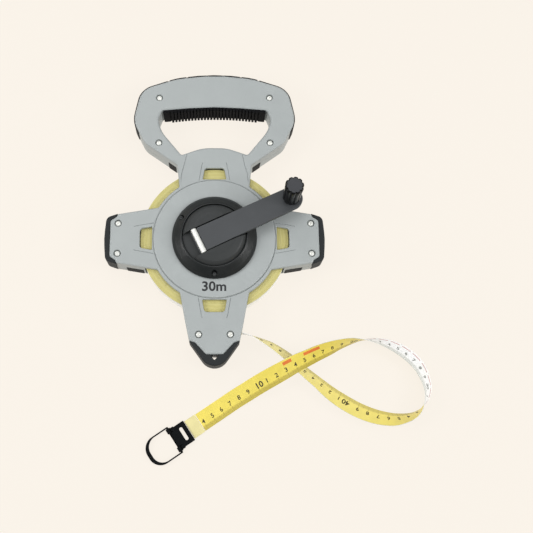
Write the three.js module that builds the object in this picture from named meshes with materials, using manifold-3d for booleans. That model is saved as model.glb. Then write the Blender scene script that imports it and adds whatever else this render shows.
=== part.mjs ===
// Open-reel long tape measure, lying on its back.
// Millimetres, +Z up. The origin is on the reel's axis, at the rear shell's flat face.
// +Y points to the handle, +X to the side where the tape comes out.
import * as THREE from 'three';
import { mergeVertices } from 'three/addons/utils/BufferGeometryUtils.js';
import Module from 'manifold-3d';

const wasm = await Module();
wasm.setup();

// ---------------------------------------------------------------- driving dimensions
const DEPTH = 26; // rear face to the front face of the arms
const MID = DEPTH / 2; // parting plane of the two shells
const GAP = 0.3; // clearance between pieces that touch
const PLATE = 3; // front and rear walls of the shells
const WALL = 2.6; // side walls of the shells

const TAPE_WIDTH = 18;
const TAPE_THICK = 0.5;
const COIL_OUTER = 71.8;
const COIL_INNER = 26;
const COIL_LOW = MID - TAPE_WIDTH / 2;
const COIL_HIGH = MID + TAPE_WIDTH / 2;
const COIL_CLEAR = 1.3; // room round the wound tape

const HUB_DISC = 63; // the shells' round middle
const RAISED_DISC = 59.2; // raised round face on the front
const RAISED_TOP = 27.5;
const HUB_OPENING = 33.6;

const WINDOW_NEAR = 60.4; // viewing window: near edge, far edge and half widths
const WINDOW_FAR = 72.3;
const WINDOW_NEAR_HALF = 11.7;
const WINDOW_FAR_HALF = 9.6;

const CRANK_ANGLE = THREE.MathUtils.degToRad(25.5);
const PIN_OFFSET = -16.5; // hinge pin from the reel's axis, along the crank
const PIN_R = 2.7;
const PIN_HALF = 12.4; // the pin's thick middle
const PIN_END_R = 1.5; // its thin ends, in the dish
const PIN_Z = 40.8;
const PIN_LENGTH = 29.5;
const KNOB_OFFSET = 81.4; // knob from the reel's axis, along the crank
const ARM_TOP = 43.2;
const ARM_LOW = 38.9;
const ARM_ROOT_LOW = 36.9; // the arm's deeper root, inside the dish
const ARM_HALF = 12.1;
const ARM_END_HALF = 11.2;
const CHANNEL_HALF = 12.9;
const CHANNEL_FLOOR = 36.4;
const KNOB_LOW = ARM_TOP + GAP;
const KNOB_TOP = 79.5;
const KNOB_R = 8.9;

const DISH_R = 30.2;
const DISH_FLANGE = 32.8;
const RING_OUTER = 41;
const RING_INNER = 30.7;
const RING_SCREW_CIRCLE = 36.8;

const HOOK = new THREE.Vector3(-37.2, -188.65, 0); // ring's hinge axis, at the table
const HOOK_ANGLE = THREE.MathUtils.degToRad(33.5);
const HINGE_Z = 2.4;
const EAR_OUTER = 12.2;
const BAND_FROM = 16.5; // pale end band, from and to, along the tape from the hook
const BAND_TO = 28.3;

// Screw positions [x, y].
const FRAME_SCREWS = [
  [-56, 148.8], [56, 148.8], [-55.7, 99.5], [55.7, 99.5],
  [-93.7, 15.1], [-93.7, -15.1], [93.7, 15.1], [93.7, -15.1],
  [-14.9, -93.6], [14.9, -93.6],
];

// Free tape from its exit to the end band: [x, y, lift of its lower edge, lean of its width in degrees].
// Lean 0 stands on edge, 90 lies flat with the yellow face up, and negative leans into the loop.
const TAPE_ROUTE = [
  [26.3, -90.6, 4.0, 4], [35.7, -92.9, 3.6, 10], [45.4, -97.2, 2.8, 19], [55.0, -102.0, 1.8, 27],
  [71.2, -113.4, 0.3, 35], [85.8, -126.7, 0, 40], [96.8, -135.8, 0, 44], [108.5, -145.6, 0, 52],
  [120.3, -153.7, 0, 57], [134.7, -161.7, 0, 57], [149.5, -167.3, 0, 53], [164.3, -170.0, 0, 45],
  [174.7, -169.4, 0, 33], [184.4, -166.8, 0, 19], [191.0, -162.4, 0, 4], [196.0, -156.0, 0, -14],
  [199.0, -149.5, 0, -26], [200.5, -142.0, 0, -36], [199.6, -134.2, 0, -43], [194.4, -121.0, 0, -51],
  [184.4, -110.1, 0, -51.5], [170.3, -101.6, 0, -43], [154.0, -96.9, 0, -24.5], [140.0, -96.4, 0.2, -3],
  [129.6, -97.8, 1.0, 13], [118.6, -100.9, 2.4, 26], [107.9, -105.1, 5.0, 39], [97.2, -109.6, 8.6, 47],
  [86.8, -114.7, 12.0, 53], [76.4, -119.6, 14.6, 60], [66.6, -125.0, 15.6, 68], [57.6, -129.7, 14.0, 75],
  [47.8, -134.8, 10.5, 81], [38.4, -140.0, 6.8, 86], [29.3, -145.4, 3.6, 89], [19.9, -151.0, 1.6, 90],
  [5.8, -160.3, 0.7, 90], [-13.2, -172.8, 0.6, 90],
];
const TAPE_STEP = 6; // length of one flat facet of the free tape

// ---------------------------------------------------------------- materials
function plastic(color, roughness) {
  return new THREE.MeshStandardMaterial({ color, roughness, metalness: 0 });
}

function metal(color, roughness) {
  return new THREE.MeshStandardMaterial({ color, roughness, metalness: 1 });
}

const GREY_SHELL = plastic(0xb4babb, 0.5);
const BLACK_RUBBER = plastic(0x34383a, 0.7);
const BLACK_PLASTIC = plastic(0x2b2f30, 0.45);
const DARK_GREY = plastic(0x4e5050, 0.55);
const YELLOW_TAPE = plastic(0xe6d264, 0.45);
const PALE_BAND = plastic(0xe4deae, 0.5);
const WHITE_PLASTIC = plastic(0xe8e8e4, 0.5);
const STEEL = metal(0xd8dadb, 0.3);
const BLACK_STEEL = metal(0x1c1e20, 0.4);

// ---------------------------------------------------------------- solids
function toManifold(geometry) {
  const bare = geometry.clone();
  bare.deleteAttribute('normal');
  bare.deleteAttribute('uv');
  const merged = mergeVertices(bare, 1e-4);
  const index = merged.index.array;
  const corners = [new THREE.Vector3(), new THREE.Vector3(), new THREE.Vector3()];
  let triangles = [];
  let volume = 0;
  for (let i = 0; i < index.length; i += 3) {
    const [a, b, c] = [index[i], index[i + 1], index[i + 2]];
    if (a === b || b === c || a === c) continue;
    [a, b, c].forEach((v, k) => corners[k].fromBufferAttribute(merged.attributes.position, v));
    volume += corners[0].dot(corners[1].clone().cross(corners[2]));
    triangles.push([a, b, c]);
  }
  if (volume < 0) triangles = triangles.map(([a, b, c]) => [a, c, b]);
  return new wasm.Manifold(new wasm.Mesh({
    numProp: 3,
    vertProperties: new Float32Array(merged.attributes.position.array),
    triVerts: new Uint32Array(triangles.flat()),
  }));
}

function toGeometry(manifold) {
  const mesh = manifold.getMesh();
  const geometry = new THREE.BufferGeometry();
  geometry.setAttribute('position', new THREE.Float32BufferAttribute(mesh.vertProperties, 3));
  geometry.setIndex(Array.from(mesh.triVerts));
  return geometry;
}

function node(name, manifold, material) {
  const mesh = new THREE.Mesh(toGeometry(manifold), material.clone());
  mesh.name = name;
  return mesh;
}

function union(solids) {
  return solids.reduce((sum, solid) => sum.add(solid));
}

// A straight prism over a closed outline.
function prism(points, low, high) {
  const outline = new THREE.Shape(points.map(([x, y]) => new THREE.Vector2(x, y)));
  const geometry = new THREE.ExtrudeGeometry(outline, { depth: high - low, bevelEnabled: false });
  return toManifold(geometry.translate(0, 0, low));
}

function cylinder(radius, low, high, x = 0, y = 0, sides = 12) {
  const geometry = new THREE.CylinderGeometry(radius, radius, high - low, sides);
  geometry.rotateX(Math.PI / 2).translate(x, y, (low + high) / 2);
  return toManifold(geometry);
}

function box(x0, x1, y0, y1, z0, z1) {
  const geometry = new THREE.BoxGeometry(x1 - x0, y1 - y0, z1 - z0);
  return toManifold(geometry.translate((x0 + x1) / 2, (y0 + y1) / 2, (z0 + z1) / 2));
}

// A body of revolution about Z from its closed profile of [radius, z].
function turned(profile, sides = 36) {
  const points = profile.map(([r, z]) => new THREE.Vector2(r, z));
  points.push(points[0].clone());
  return toManifold(new THREE.LatheGeometry(points, sides).rotateX(Math.PI / 2));
}

function rotated(manifold, degrees) {
  return manifold.rotate([0, 0, degrees]);
}

function moved(manifold, x, y, z = 0) {
  return manifold.translate([x, y, z]);
}

// ---------------------------------------------------------------- outlines
// Mirrors the right half of an outline, given from bottom to top as [x, y, corner radius].
function mirroredCorners(half) {
  const left = half.filter(([x]) => x > 0).reverse().map(([x, y, r]) => [-x, y, r]);
  return [...half, ...left];
}

// Moves every side of a cornered outline inwards by inset (outwards if negative).
function insetCorners(corners, inset) {
  const n = corners.length;
  return corners.map(([x, y, r], i) => {
    const before = corners[(i + n - 1) % n];
    const after = corners[(i + 1) % n];
    const u = new THREE.Vector2(x - before[0], y - before[1]).normalize();
    const v = new THREE.Vector2(after[0] - x, after[1] - y).normalize();
    const turn = u.x * v.y - u.y * v.x;
    const scale = inset / (1 + u.dot(v));
    const radius = Math.max(r - Math.sign(turn) * inset, 0);
    return [x - (u.y + v.y) * scale, y + (u.x + v.x) * scale, r ? radius : 0];
  });
}

const LARGE_RADIUS = 50;
const LARGE_STEP = THREE.MathUtils.degToRad(5); // one chord of an arc, on large and on small radii
const SMALL_STEP = THREE.MathUtils.degToRad(20);

// Rounds the corners of an outline with arcs.
function roundedOutline(corners) {
  const n = corners.length;
  return corners.flatMap(([x, y, r], i) => {
    if (!r) return [[x, y]];
    const before = corners[(i + n - 1) % n];
    const after = corners[(i + 1) % n];
    const u = new THREE.Vector2(x - before[0], y - before[1]).normalize();
    const v = new THREE.Vector2(after[0] - x, after[1] - y).normalize();
    const angle = Math.atan2(u.x * v.y - u.y * v.x, u.dot(v));
    const reach = r * Math.tan(Math.abs(angle) / 2);
    const side = Math.sign(angle);
    const centre = [x - u.x * reach - u.y * r * side, y - u.y * reach + u.x * r * side];
    const start = Math.atan2(-u.x * side, u.y * side);
    const steps = Math.max(1, Math.ceil(Math.abs(angle) / (r > LARGE_RADIUS ? LARGE_STEP : SMALL_STEP)));
    return Array.from({ length: steps + 1 }, (_, k) => {
      const a = start + (angle * k) / steps;
      return [centre[0] + r * Math.cos(a), centre[1] + r * Math.sin(a)];
    });
  });
}

function rounded(corners, inset, low, high) {
  return prism(roundedOutline(insetCorners(corners, inset)), low, high);
}

const BOTTOM_ARM = mirroredCorners([
  [8.1, -112.1, 2], [18.2, -101.2, 3], [23.9, -99.2, 0.8], [27, -84.8, 30], [32.8, -58, 0], [34, -30, 0],
]);
const REAR_TIP_CUT = -109.4; // the rear shell stops here, above the hole in the tip bumper
const SIDE_ARM = mirroredCorners([
  [18.2, -101.3, 4], [21.6, -95.6, 1], [24.7, -94.2, 0.8], [31.6, -53, 0], [32, -30, 0],
]);
const HANDLE = mirroredCorners([
  [33.4, 40, 0], [36.9, 75.6, 3], [70.2, 99.4, 18], [82, 123.5, 26],
  [74.4, 158.2, 20], [40, 169.6, 60], [0, 175.8, 200],
]);
const HANDLE_OPENING = mirroredCorners([
  [12, 94.1, 40], [33, 86.6, 2.5], [52.8, 111.2, 30], [57.2, 124.4, 14], [53.2, 134.8, 3], [0, 139.4, 300],
]);
const SIDE_BUMPER = mirroredCorners([[0, -107.3, 90], [21.6, -105.4, 6], [25.4, -94.4, 0.5]]);
const TIP_BUMPER = mirroredCorners([[0, -132.9, 14.3], [24, -99.6, 0.3]]);
const TIP_HOLE = [[0, -117.4], [6.6, -110.2], [-6.6, -110.2]];
const STRAP_OUTLINE = mirroredCorners([
  [33.4, 40, 0], [36.9, 75.6, 3], [70.2, 99.4, 18], [82, 123.5, 26],
  [74.8, 158.6, 20], [40, 170.6, 60], [0, 177.3, 200],
]); // the strap stands a little further out along the handle's bar
const STRAP_FROM_Y = 112; // lowest point of the strap round the handle

function windowOutline() {
  return roundedOutline(mirroredCorners([
    [WINDOW_NEAR_HALF, WINDOW_NEAR, 0.6], [WINDOW_FAR_HALF, WINDOW_FAR, 3.2],
  ]));
}

// ---------------------------------------------------------------- shells
// The frame's outline as a solid: round middle, two side arms, bottom arm and handle.
function footprint(inset, low, high) {
  return union([
    cylinder(HUB_DISC - inset, low, high, 0, 0, 48),
    rounded(BOTTOM_ARM, inset, low, high),
    rotated(rounded(SIDE_ARM, inset, low, high), 90),
    rotated(rounded(SIDE_ARM, inset, low, high), -90),
    rounded(HANDLE, inset, low, high),
  ]).subtract(rounded(HANDLE_OPENING, -inset, low - 1, high + 1));
}

function windows() {
  const one = prism(windowOutline(), -1, DEPTH + 1);
  return union([0, 90, 180, 270].map((angle) => rotated(one, angle)));
}

function strapBand(inner, outer, low, high) {
  const band = rounded(STRAP_OUTLINE, -outer, low, high).subtract(rounded(HANDLE, inner, low - 1, high + 1));
  return band.intersect(box(-95, 95, STRAP_FROM_Y, 180, low, high));
}

// Pads let into the side walls: [name, length, top, x, y, turn], with x and y on the wall's outer face.
const PAD_DEEP = 1.6;
const PAD_PROUD = 0.3;
const PAD_LOW = 0.8;
const PADS = [
  ['arm_pad_left_lower', 16.8, 14, -77.1, -27.57, 170.5], ['arm_pad_left_upper', 16.8, 14, -77.1, 27.57, 9.5],
  ['arm_pad_right_lower', 16.8, 14, 77.1, -27.57, 189.5], ['arm_pad_right_upper', 16.8, 14, 77.1, 27.57, -9.5],
  ['crook_pad_left', 9.4, 16, -42.3, 79.5, 144.4], ['crook_pad_right', 9.4, 16, 42.3, 79.5, 215.6],
];

// Built with the wall's face on y = 0, facing +Y before the turn.
function padSolid([, length, top, x, y, turn], grow, outer) {
  const solid = box(-length / 2 - grow, length / 2 + grow, -PAD_DEEP - grow, outer, PAD_LOW - grow, top + grow);
  return moved(rotated(solid, turn), x, y);
}

function padSeats() {
  return union(PADS.map((pad) => padSolid(pad, GAP, 2)));
}

function bosses(low, high) {
  return union(FRAME_SCREWS.map(([x, y]) => cylinder(4.4, low, high, x, y, 8)));
}

function bores(radius, low, high, sides) {
  return union(FRAME_SCREWS.map(([x, y]) => cylinder(radius, low, high, x, y, sides)));
}

const STRAP_LOW = 4.2;
const STRAP_HIGH = 23.6;
const STRAP_PROUD = 0.9;
const STRAP_IN = 1.2;

// What both shells leave free: windows, strap groove, pad seats and the slot the tape comes out of.
function commonCuts() {
  return union([
    windows(),
    strapBand(STRAP_IN + GAP, 3, STRAP_LOW - GAP, STRAP_HIGH + GAP),
    padSeats(),
    box(21, 31, -92.4, -88.4, COIL_LOW - 0.6, COIL_HIGH + 0.6),
  ]);
}

function frontShell() {
  const low = MID + GAP / 2;
  const inside = DEPTH - PLATE;
  const cavity = footprint(WALL, low - 1, inside).add(cylinder(COIL_OUTER + COIL_CLEAR, low - 1, inside, 0, 0, 48));
  const gripSeat = box(-52.2, 52.2, 132, 141.6, low - 1, DEPTH - 1.2);
  return footprint(0, low, DEPTH)
    .subtract(cavity)
    .add(bosses(low, inside))
    .add(cylinder(RAISED_DISC, inside, RAISED_TOP, 0, 0, 48))
    .subtract(cylinder(HUB_OPENING, 0, DEPTH + 5, 0, 0, 48))
    .subtract(bores(1.9, 0, DEPTH + 1, 8))
    .subtract(bores(3.4, DEPTH - 2.6, DEPTH + 1, 12))
    .subtract(ringScrewHoles(1.6, PLATE))
    .subtract(gripSeat)
    .subtract(commonCuts());
}

const AXLE_R = 9;
const AXLE_TOP = 15;

function rearShell() {
  const high = MID - GAP / 2;
  const cavity = footprint(WALL, PLATE, high + 1).add(cylinder(COIL_OUTER + COIL_CLEAR, PLATE, high + 1, 0, 0, 48));
  const gripSeat = box(-52.2, 52.2, 132, 141.6, 1.2, high + 1);
  const tipCut = box(-12, 12, -120, REAR_TIP_CUT, -1, high + 1);
  return footprint(0, 0, high)
    .subtract(cavity)
    .add(bosses(PLATE - 1, high))
    .subtract(bores(1.9, PLATE, DEPTH, 8))
    .subtract(gripSeat)
    .subtract(tipCut)
    .subtract(commonCuts())
    .add(cylinder(AXLE_R, PLATE - 1, AXLE_TOP, 0, 0, 32))
    .subtract(cylinder(2.3, PLATE + 2, AXLE_TOP + 1, 0, 0, 16));
}

// ---------------------------------------------------------------- trim
function sideBumper(angle) {
  const low = 1;
  const high = DEPTH - 1;
  const solid = rounded(SIDE_BUMPER, 0, low, high).subtract(rounded(SIDE_ARM, -GAP, low - 1, high + 1));
  return rotated(solid, angle);
}

function tipBumper() {
  return rounded(TIP_BUMPER, 0, 1, DEPTH - 1)
    .subtract(rounded(BOTTOM_ARM, -GAP, 0, DEPTH))
    .subtract(prism(TIP_HOLE, 0, DEPTH));
}

const GRIP_HALF = 51.8;
const GRIP_TEETH = 27;
const GRIP_PITCH = 3.3;

// The toothed finger grip under the handle's bar, an arc seen from the front.
function handleGrip() {
  const top = (x) => 139 - (x / GRIP_HALF) ** 2 * 4.3;
  const xs = [];
  for (let i = 0; i <= 16; i += 1) xs.push(GRIP_HALF * (i / 8 - 1));
  const upper = xs.map((x) => [x, top(x) + 1.8]);
  const lower = [];
  for (let i = 0; i < GRIP_TEETH; i += 1) {
    const x = (i - (GRIP_TEETH - 1) / 2) * GRIP_PITCH;
    lower.push([x - 1.5, top(x) - 1.9], [x - 1, top(x) - 4.2], [x + 1, top(x) - 4.2], [x + 1.5, top(x) - 1.9]);
  }
  const ends = [[-GRIP_HALF, top(GRIP_HALF) - 2.2], [-45.4, top(45.4) - 2.6]];
  const outline = [...ends, ...lower, ...ends.map(([x, y]) => [-x, y]).reverse(), ...upper.reverse()];
  return prism(outline, 1.5, DEPTH - 1.5);
}

// ---------------------------------------------------------------- hub
function ringScrewSpots() {
  return [30, 150, 270].map((degrees) => {
    const a = THREE.MathUtils.degToRad(degrees);
    return [RING_SCREW_CIRCLE * Math.cos(a), RING_SCREW_CIRCLE * Math.sin(a)];
  });
}

function ringScrewHoles(radius, low) {
  return union(ringScrewSpots().map(([x, y]) => cylinder(radius, low, DEPTH + 20, x, y, 12)));
}

const RING_FOOT = RAISED_TOP + GAP;
const RING_EDGE = 29.6;
const RING_CREST = 38.4;
const RING_LEDGE = 29.9; // underside of the lip that holds the dish down
const RING_HEAD_SEAT = 31;

function bearingRing() {
  const profile = [
    [DISH_FLANGE + 0.5, RING_FOOT], [RING_OUTER, RING_FOOT], [RING_OUTER, RING_EDGE],
    [37.6, 33.4], [RING_INNER + 1.2, RING_CREST], [RING_INNER, RING_CREST],
    [RING_INNER, RING_LEDGE], [DISH_FLANGE + 0.5, RING_LEDGE],
  ];
  return turned(profile, 48)
    .subtract(ringScrewHoles(1.6, 20))
    .subtract(ringScrewHoles(2.8, RING_HEAD_SEAT));
}

function screw(headR, headHigh, headLow, shankR, tip) {
  return cylinder(headR, headLow, headHigh).add(cylinder(shankR, tip, headLow + 0.5, 0, 0, 8));
}

const NECK_LOW = 20.3; // the dish's neck sits in the drum's recess
const NECK_R = 19.6;

// The dish turns in the bearing ring and carries the crank in a channel across its dome.
function crankDish() {
  const dome = [[DISH_R, 37.4], [28.6, 39.6], [26, 41.6], [22.5, 42.9], [18, 43.4]];
  const profile = [
    [0, NECK_LOW], [NECK_R, NECK_LOW], [NECK_R, 26.9], [DISH_FLANGE, 26.9], [DISH_FLANGE, RING_LEDGE - GAP],
    [DISH_R, RING_LEDGE - GAP], ...dome, [0, 43.4],
  ];
  const channel = box(-40, 40, -CHANNEL_HALF, CHANNEL_HALF, CHANNEL_FLOOR, 60);
  const pinBore = new THREE.CylinderGeometry(PIN_END_R + GAP, PIN_END_R + GAP, PIN_LENGTH + 1, 16);
  pinBore.translate(PIN_OFFSET, 0, PIN_Z);
  const cuts = channel.add(toManifold(pinBore)).rotate([0, 0, THREE.MathUtils.radToDeg(CRANK_ANGLE)]);
  return turned(profile, 48).subtract(cuts).subtract(drumScrewHoles(2.2, NECK_LOW - 1, 30));
}

const DRUM_SCREW_CIRCLE = 15.5;

function drumScrewSpots() {
  return [90, 210, 330].map((degrees) => {
    const a = THREE.MathUtils.degToRad(degrees);
    return [DRUM_SCREW_CIRCLE * Math.cos(a), DRUM_SCREW_CIRCLE * Math.sin(a)];
  });
}

function drumScrewHoles(radius, low, high) {
  return union(drumScrewSpots().map(([x, y]) => cylinder(radius, low, high, x, y, 12)));
}

const BUSH_OUTER = 11.3;
const WASHER_LOW = 16.1;

function drumCore() {
  const profile = [
    [BUSH_OUTER + GAP, COIL_LOW], [COIL_INNER - GAP, COIL_LOW], [COIL_INNER - GAP, COIL_HIGH],
    [NECK_R + GAP, COIL_HIGH], [NECK_R + GAP, NECK_LOW - GAP], [13.2, NECK_LOW - GAP],
    [13.2, WASHER_LOW - GAP], [BUSH_OUTER + GAP, WASHER_LOW - GAP],
  ];
  return turned(profile).subtract(drumScrewHoles(2.2, COIL_LOW - 1, DEPTH)).subtract(drumScrewHoles(3.4, 0, 7));
}

// ---------------------------------------------------------------- crank, in a group with its origin on the hinge pin
const KNOB_X = KNOB_OFFSET - PIN_OFFSET;
const ARM_START = 3.1;
const ROOT_END = 27.4 - PIN_OFFSET;

function crankArm() {
  const bar = mirroredBar(ARM_START, ARM_HALF, KNOB_X, ARM_END_HALF);
  const top = prism(bar, ARM_LOW, ARM_TOP);
  const root = box(ARM_START, ROOT_END, -ARM_HALF + 0.4, ARM_HALF - 0.4, ARM_ROOT_LOW, ARM_LOW + 1);
  const knuckleOuter = new THREE.CylinderGeometry(3.9, 3.9, 2 * ARM_HALF - 0.6, 24).translate(0, 0, PIN_Z);
  const knuckle = toManifold(knuckleOuter)
    .subtract(box(-9, ARM_START, -20, 20, PIN_Z - 0.4, PIN_Z + 9))
    .subtract(box(ARM_START + 0.2, 9, -20, 20, PIN_Z - 0.4, PIN_Z + 9));
  const bore = new THREE.CylinderGeometry(PIN_R + GAP, PIN_R + GAP, 40, 24).translate(0, 0, PIN_Z);
  return union([top, root, knuckle])
    .subtract(toManifold(bore))
    .subtract(cylinder(2.8, 30, 50, KNOB_X, 0, 16))
    .subtract(cylinder(5.3, 30, ARM_LOW + 1.9, KNOB_X, 0, 20));
}

// A bar along +X that narrows slightly and ends in a half circle.
function mirroredBar(start, half, end, endHalf) {
  const arc = [];
  for (let i = 0; i <= 14; i += 1) {
    const a = -Math.PI / 2 + (Math.PI * i) / 14;
    arc.push([end + endHalf * Math.cos(a), endHalf * Math.sin(a)]);
  }
  return [[start, -half], ...arc, [start, half]];
}

function hingePin() {
  const middle = new THREE.CylinderGeometry(PIN_R, PIN_R, 2 * PIN_HALF, 24).translate(0, 0, PIN_Z);
  const ends = new THREE.CylinderGeometry(PIN_END_R, PIN_END_R, PIN_LENGTH, 16).translate(0, 0, PIN_Z);
  return toManifold(middle).add(toManifold(ends));
}

const SPINDLE_R = 2.5;
const COLLAR_LOW = 58;

function knobSpindle() {
  return turned([
    [0, ARM_LOW + 0.1], [5, ARM_LOW + 0.1], [5, ARM_LOW + 1.6], [SPINDLE_R, ARM_LOW + 1.6],
    [SPINDLE_R, COLLAR_LOW], [3.5, COLLAR_LOW], [3.5, COLLAR_LOW + 2.5], [SPINDLE_R, COLLAR_LOW + 4],
    [SPINDLE_R, 70], [0, 70],
  ], 12);
}

const FLUTES = 11;

function knobSolid() {
  const outline = [];
  const steps = FLUTES * 4;
  for (let i = 0; i < steps; i += 1) {
    const a = (i / steps) * Math.PI * 2;
    const r = KNOB_R - 0.9 * Math.max(0, Math.cos(a * FLUTES)) ** 2;
    outline.push([r * Math.cos(a), r * Math.sin(a)]);
  }
  const envelope = turned([
    [0, KNOB_LOW], [7.6, KNOB_LOW], [8.6, KNOB_LOW + 3], [8.5, 62], [KNOB_R, 72],
    [KNOB_R, KNOB_TOP - 2.2], [KNOB_R - 1.8, KNOB_TOP], [0, KNOB_TOP],
  ], 33);
  const bore = turned([
    [0, KNOB_LOW - 1], [SPINDLE_R + GAP, KNOB_LOW - 1], [SPINDLE_R + GAP, COLLAR_LOW - GAP],
    [3.8, COLLAR_LOW - GAP], [3.8, COLLAR_LOW + 4.5], [SPINDLE_R + GAP, COLLAR_LOW + 4.5],
    [SPINDLE_R + GAP, 71], [0, 71],
  ], 12);
  return envelope.intersect(prism(outline, KNOB_LOW - 1, KNOB_TOP + 1)).subtract(bore);
}

// ---------------------------------------------------------------- free tape
// Smooth values at a distance along the route: a cubic through the points, by chord length.
function routeSampler(points) {
  const at = [0];
  for (let i = 1; i < points.length; i += 1) {
    at.push(at[i - 1] + Math.hypot(points[i][0] - points[i - 1][0], points[i][1] - points[i - 1][1]));
  }
  const last = points.length - 1;
  const slope = (i, k) => {
    const [a, b] = [Math.max(i - 1, 0), Math.min(i + 1, last)];
    return (points[b][k] - points[a][k]) / (at[b] - at[a]);
  };
  const sample = (s) => {
    let i = 0;
    while (i < last - 1 && s > at[i + 1]) i += 1;
    const h = at[i + 1] - at[i];
    const t = (s - at[i]) / h;
    return points[i].map((value, k) => {
      const next = points[i + 1][k];
      return value * (2 * t ** 3 - 3 * t ** 2 + 1) + next * (3 * t ** 2 - 2 * t ** 3)
        + h * slope(i, k) * (t ** 3 - 2 * t ** 2 + t) + h * slope(i + 1, k) * (t ** 3 - t ** 2);
    });
  };
  return { length: at[last], sample };
}

// A flat strip along [x, y, lift, lean] points, as one closed solid.
function strip(points, width, thick, step) {
  const { length, sample } = routeSampler(points);
  const count = Math.max(2, Math.round(length / step));
  const positions = [];
  for (let i = 0; i <= count; i += 1) {
    const s = (length * i) / count;
    const [x, y, lift, leanDegrees] = sample(s);
    const [ax, ay] = sample(Math.min(s + 0.5, length));
    const [bx, by] = sample(Math.max(s - 0.5, 0));
    const along = new THREE.Vector2(ax - bx, ay - by).normalize();
    const lean = THREE.MathUtils.degToRad(leanDegrees);
    const low = Math.max(lift, 0);
    const across = new THREE.Vector3(along.y * Math.sin(lean), -along.x * Math.sin(lean), Math.cos(lean));
    const face = new THREE.Vector3(-along.y * Math.cos(lean), along.x * Math.cos(lean), Math.sin(lean));
    const rise = low + (width / 2) * Math.abs(Math.cos(lean)) + (thick / 2) * Math.abs(Math.sin(lean));
    const middle = new THREE.Vector3(x, y, rise);
    for (const [w, f] of [[-1, -1], [1, -1], [1, 1], [-1, 1]]) {
      const corner = middle.clone().addScaledVector(across, (w * width) / 2).addScaledVector(face, (f * thick) / 2);
      positions.push(corner.x, corner.y, corner.z);
    }
  }
  const index = [0, 1, 2, 0, 2, 3];
  for (let i = 0; i < count; i += 1) {
    for (let k = 0; k < 4; k += 1) {
      const [a, b] = [4 * i + k, 4 * i + ((k + 1) % 4)];
      // the two wide faces are split along the same diagonal, which keeps a twisted facet's thickness
      if (k < 2) index.push(a, a + 4, b, b, a + 4, b + 4);
      else index.push(a, a + 4, b + 4, a, b + 4, b);
    }
  }
  const end = 4 * count;
  index.push(end, end + 2, end + 1, end, end + 3, end + 2);
  const geometry = new THREE.BufferGeometry();
  geometry.setAttribute('position', new THREE.Float32BufferAttribute(positions, 3));
  geometry.setIndex(index);
  return toManifold(geometry);
}

// The straight run inside the bottom arm, from the coil to the exit slot.
function innerRun() {
  const exit = new THREE.Vector2(TAPE_ROUTE[0][0], TAPE_ROUTE[0][1]);
  const radius = COIL_OUTER + GAP + TAPE_THICK;
  const reach = Math.sqrt(exit.lengthSq() - radius ** 2);
  const direction = Math.atan2(-exit.y, -exit.x) + Math.asin(radius / exit.length());
  const step = new THREE.Vector2(Math.cos(direction), Math.sin(direction));
  const point = (d) => [exit.x + step.x * d, exit.y + step.y * d, COIL_LOW, 0];
  return strip([point(reach), point(reach / 2), point(GAP)], TAPE_WIDTH, TAPE_THICK, 30);
}

// ---------------------------------------------------------------- hook, in a group on the ring's hinge axis
function buckle() {
  const plate = roundedOutline([[-1.2, -10.6, 1], [16.2, -10.6, 0.6], [16.2, 10.6, 0.6], [-1.2, 10.6, 1]]);
  const slot = roundedOutline([[8.8, -6.6, 1.4], [12, -6.6, 1.4], [12, 6.6, 1.4], [8.8, 6.6, 1.4]]);
  const bore = new THREE.CylinderGeometry(1.3, 1.3, 40, 10).translate(0, 0, HINGE_Z);
  const barrel = (side) => new THREE.CylinderGeometry(2.3, 2.3, 5, 12)
    .translate(0, side * (EAR_OUTER - 2.5), HINGE_Z);
  return prism(plate, 0.1, 3.4)
    .add(toManifold(barrel(1)))
    .add(toManifold(barrel(-1)))
    .subtract(prism(slot, -1, 6))
    .subtract(toManifold(bore));
}

const RING_HALF = 13.9;

function hookRing() {
  const low = 1.4;
  const high = 3.4;
  const outer = roundedOutline([
    [-28.4, -RING_HALF, 12], [1, -RING_HALF, 1], [1, RING_HALF, 1], [-28.4, RING_HALF, 12],
  ]);
  const inner = roundedOutline([
    [-24.8, -RING_HALF + 1.3, 10.5], [3, -RING_HALF + 1.3, 0], [3, RING_HALF - 1.3, 0], [-24.8, RING_HALF - 1.3, 10.5],
  ]);
  const trunnion = (side) => toManifold(new THREE.CylinderGeometry(1, 1, 5, 10)
    .translate(0, side * (RING_HALF - 2.9), HINGE_Z));
  return prism(outer, low, high).subtract(prism(inner, low - 1, high + 1)).add(trunnion(1)).add(trunnion(-1));
}

function endBand() {
  return box(BAND_FROM, BAND_TO, -TAPE_WIDTH / 2 - 0.3, TAPE_WIDTH / 2 + 0.3, 0.2, 1.6);
}

// ---------------------------------------------------------------- assembly
const object = new THREE.Group();

object.add(node('front_shell', frontShell(), GREY_SHELL));
object.add(node('rear_shell', rearShell(), GREY_SHELL));
object.add(node('bumper_left', sideBumper(-90), BLACK_RUBBER));
object.add(node('bumper_right', sideBumper(90), BLACK_RUBBER));
object.add(node('bumper_tip', tipBumper(), BLACK_RUBBER));
object.add(node('handle_grip', handleGrip(), BLACK_RUBBER));
object.add(node('handle_strap', strapBand(STRAP_IN, STRAP_PROUD, STRAP_LOW, STRAP_HIGH), BLACK_RUBBER));
PADS.forEach((pad) => object.add(node(pad[0], padSolid(pad, 0, PAD_PROUD), BLACK_RUBBER)));
FRAME_SCREWS.forEach(([x, y], i) => {
  const name = `frame_screw_${String(i + 1).padStart(2, '0')}`;
  object.add(node(name, moved(screw(2.7, DEPTH - 0.4, DEPTH - 2.3, 1.5, 5), x, y), STEEL));
});

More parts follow.
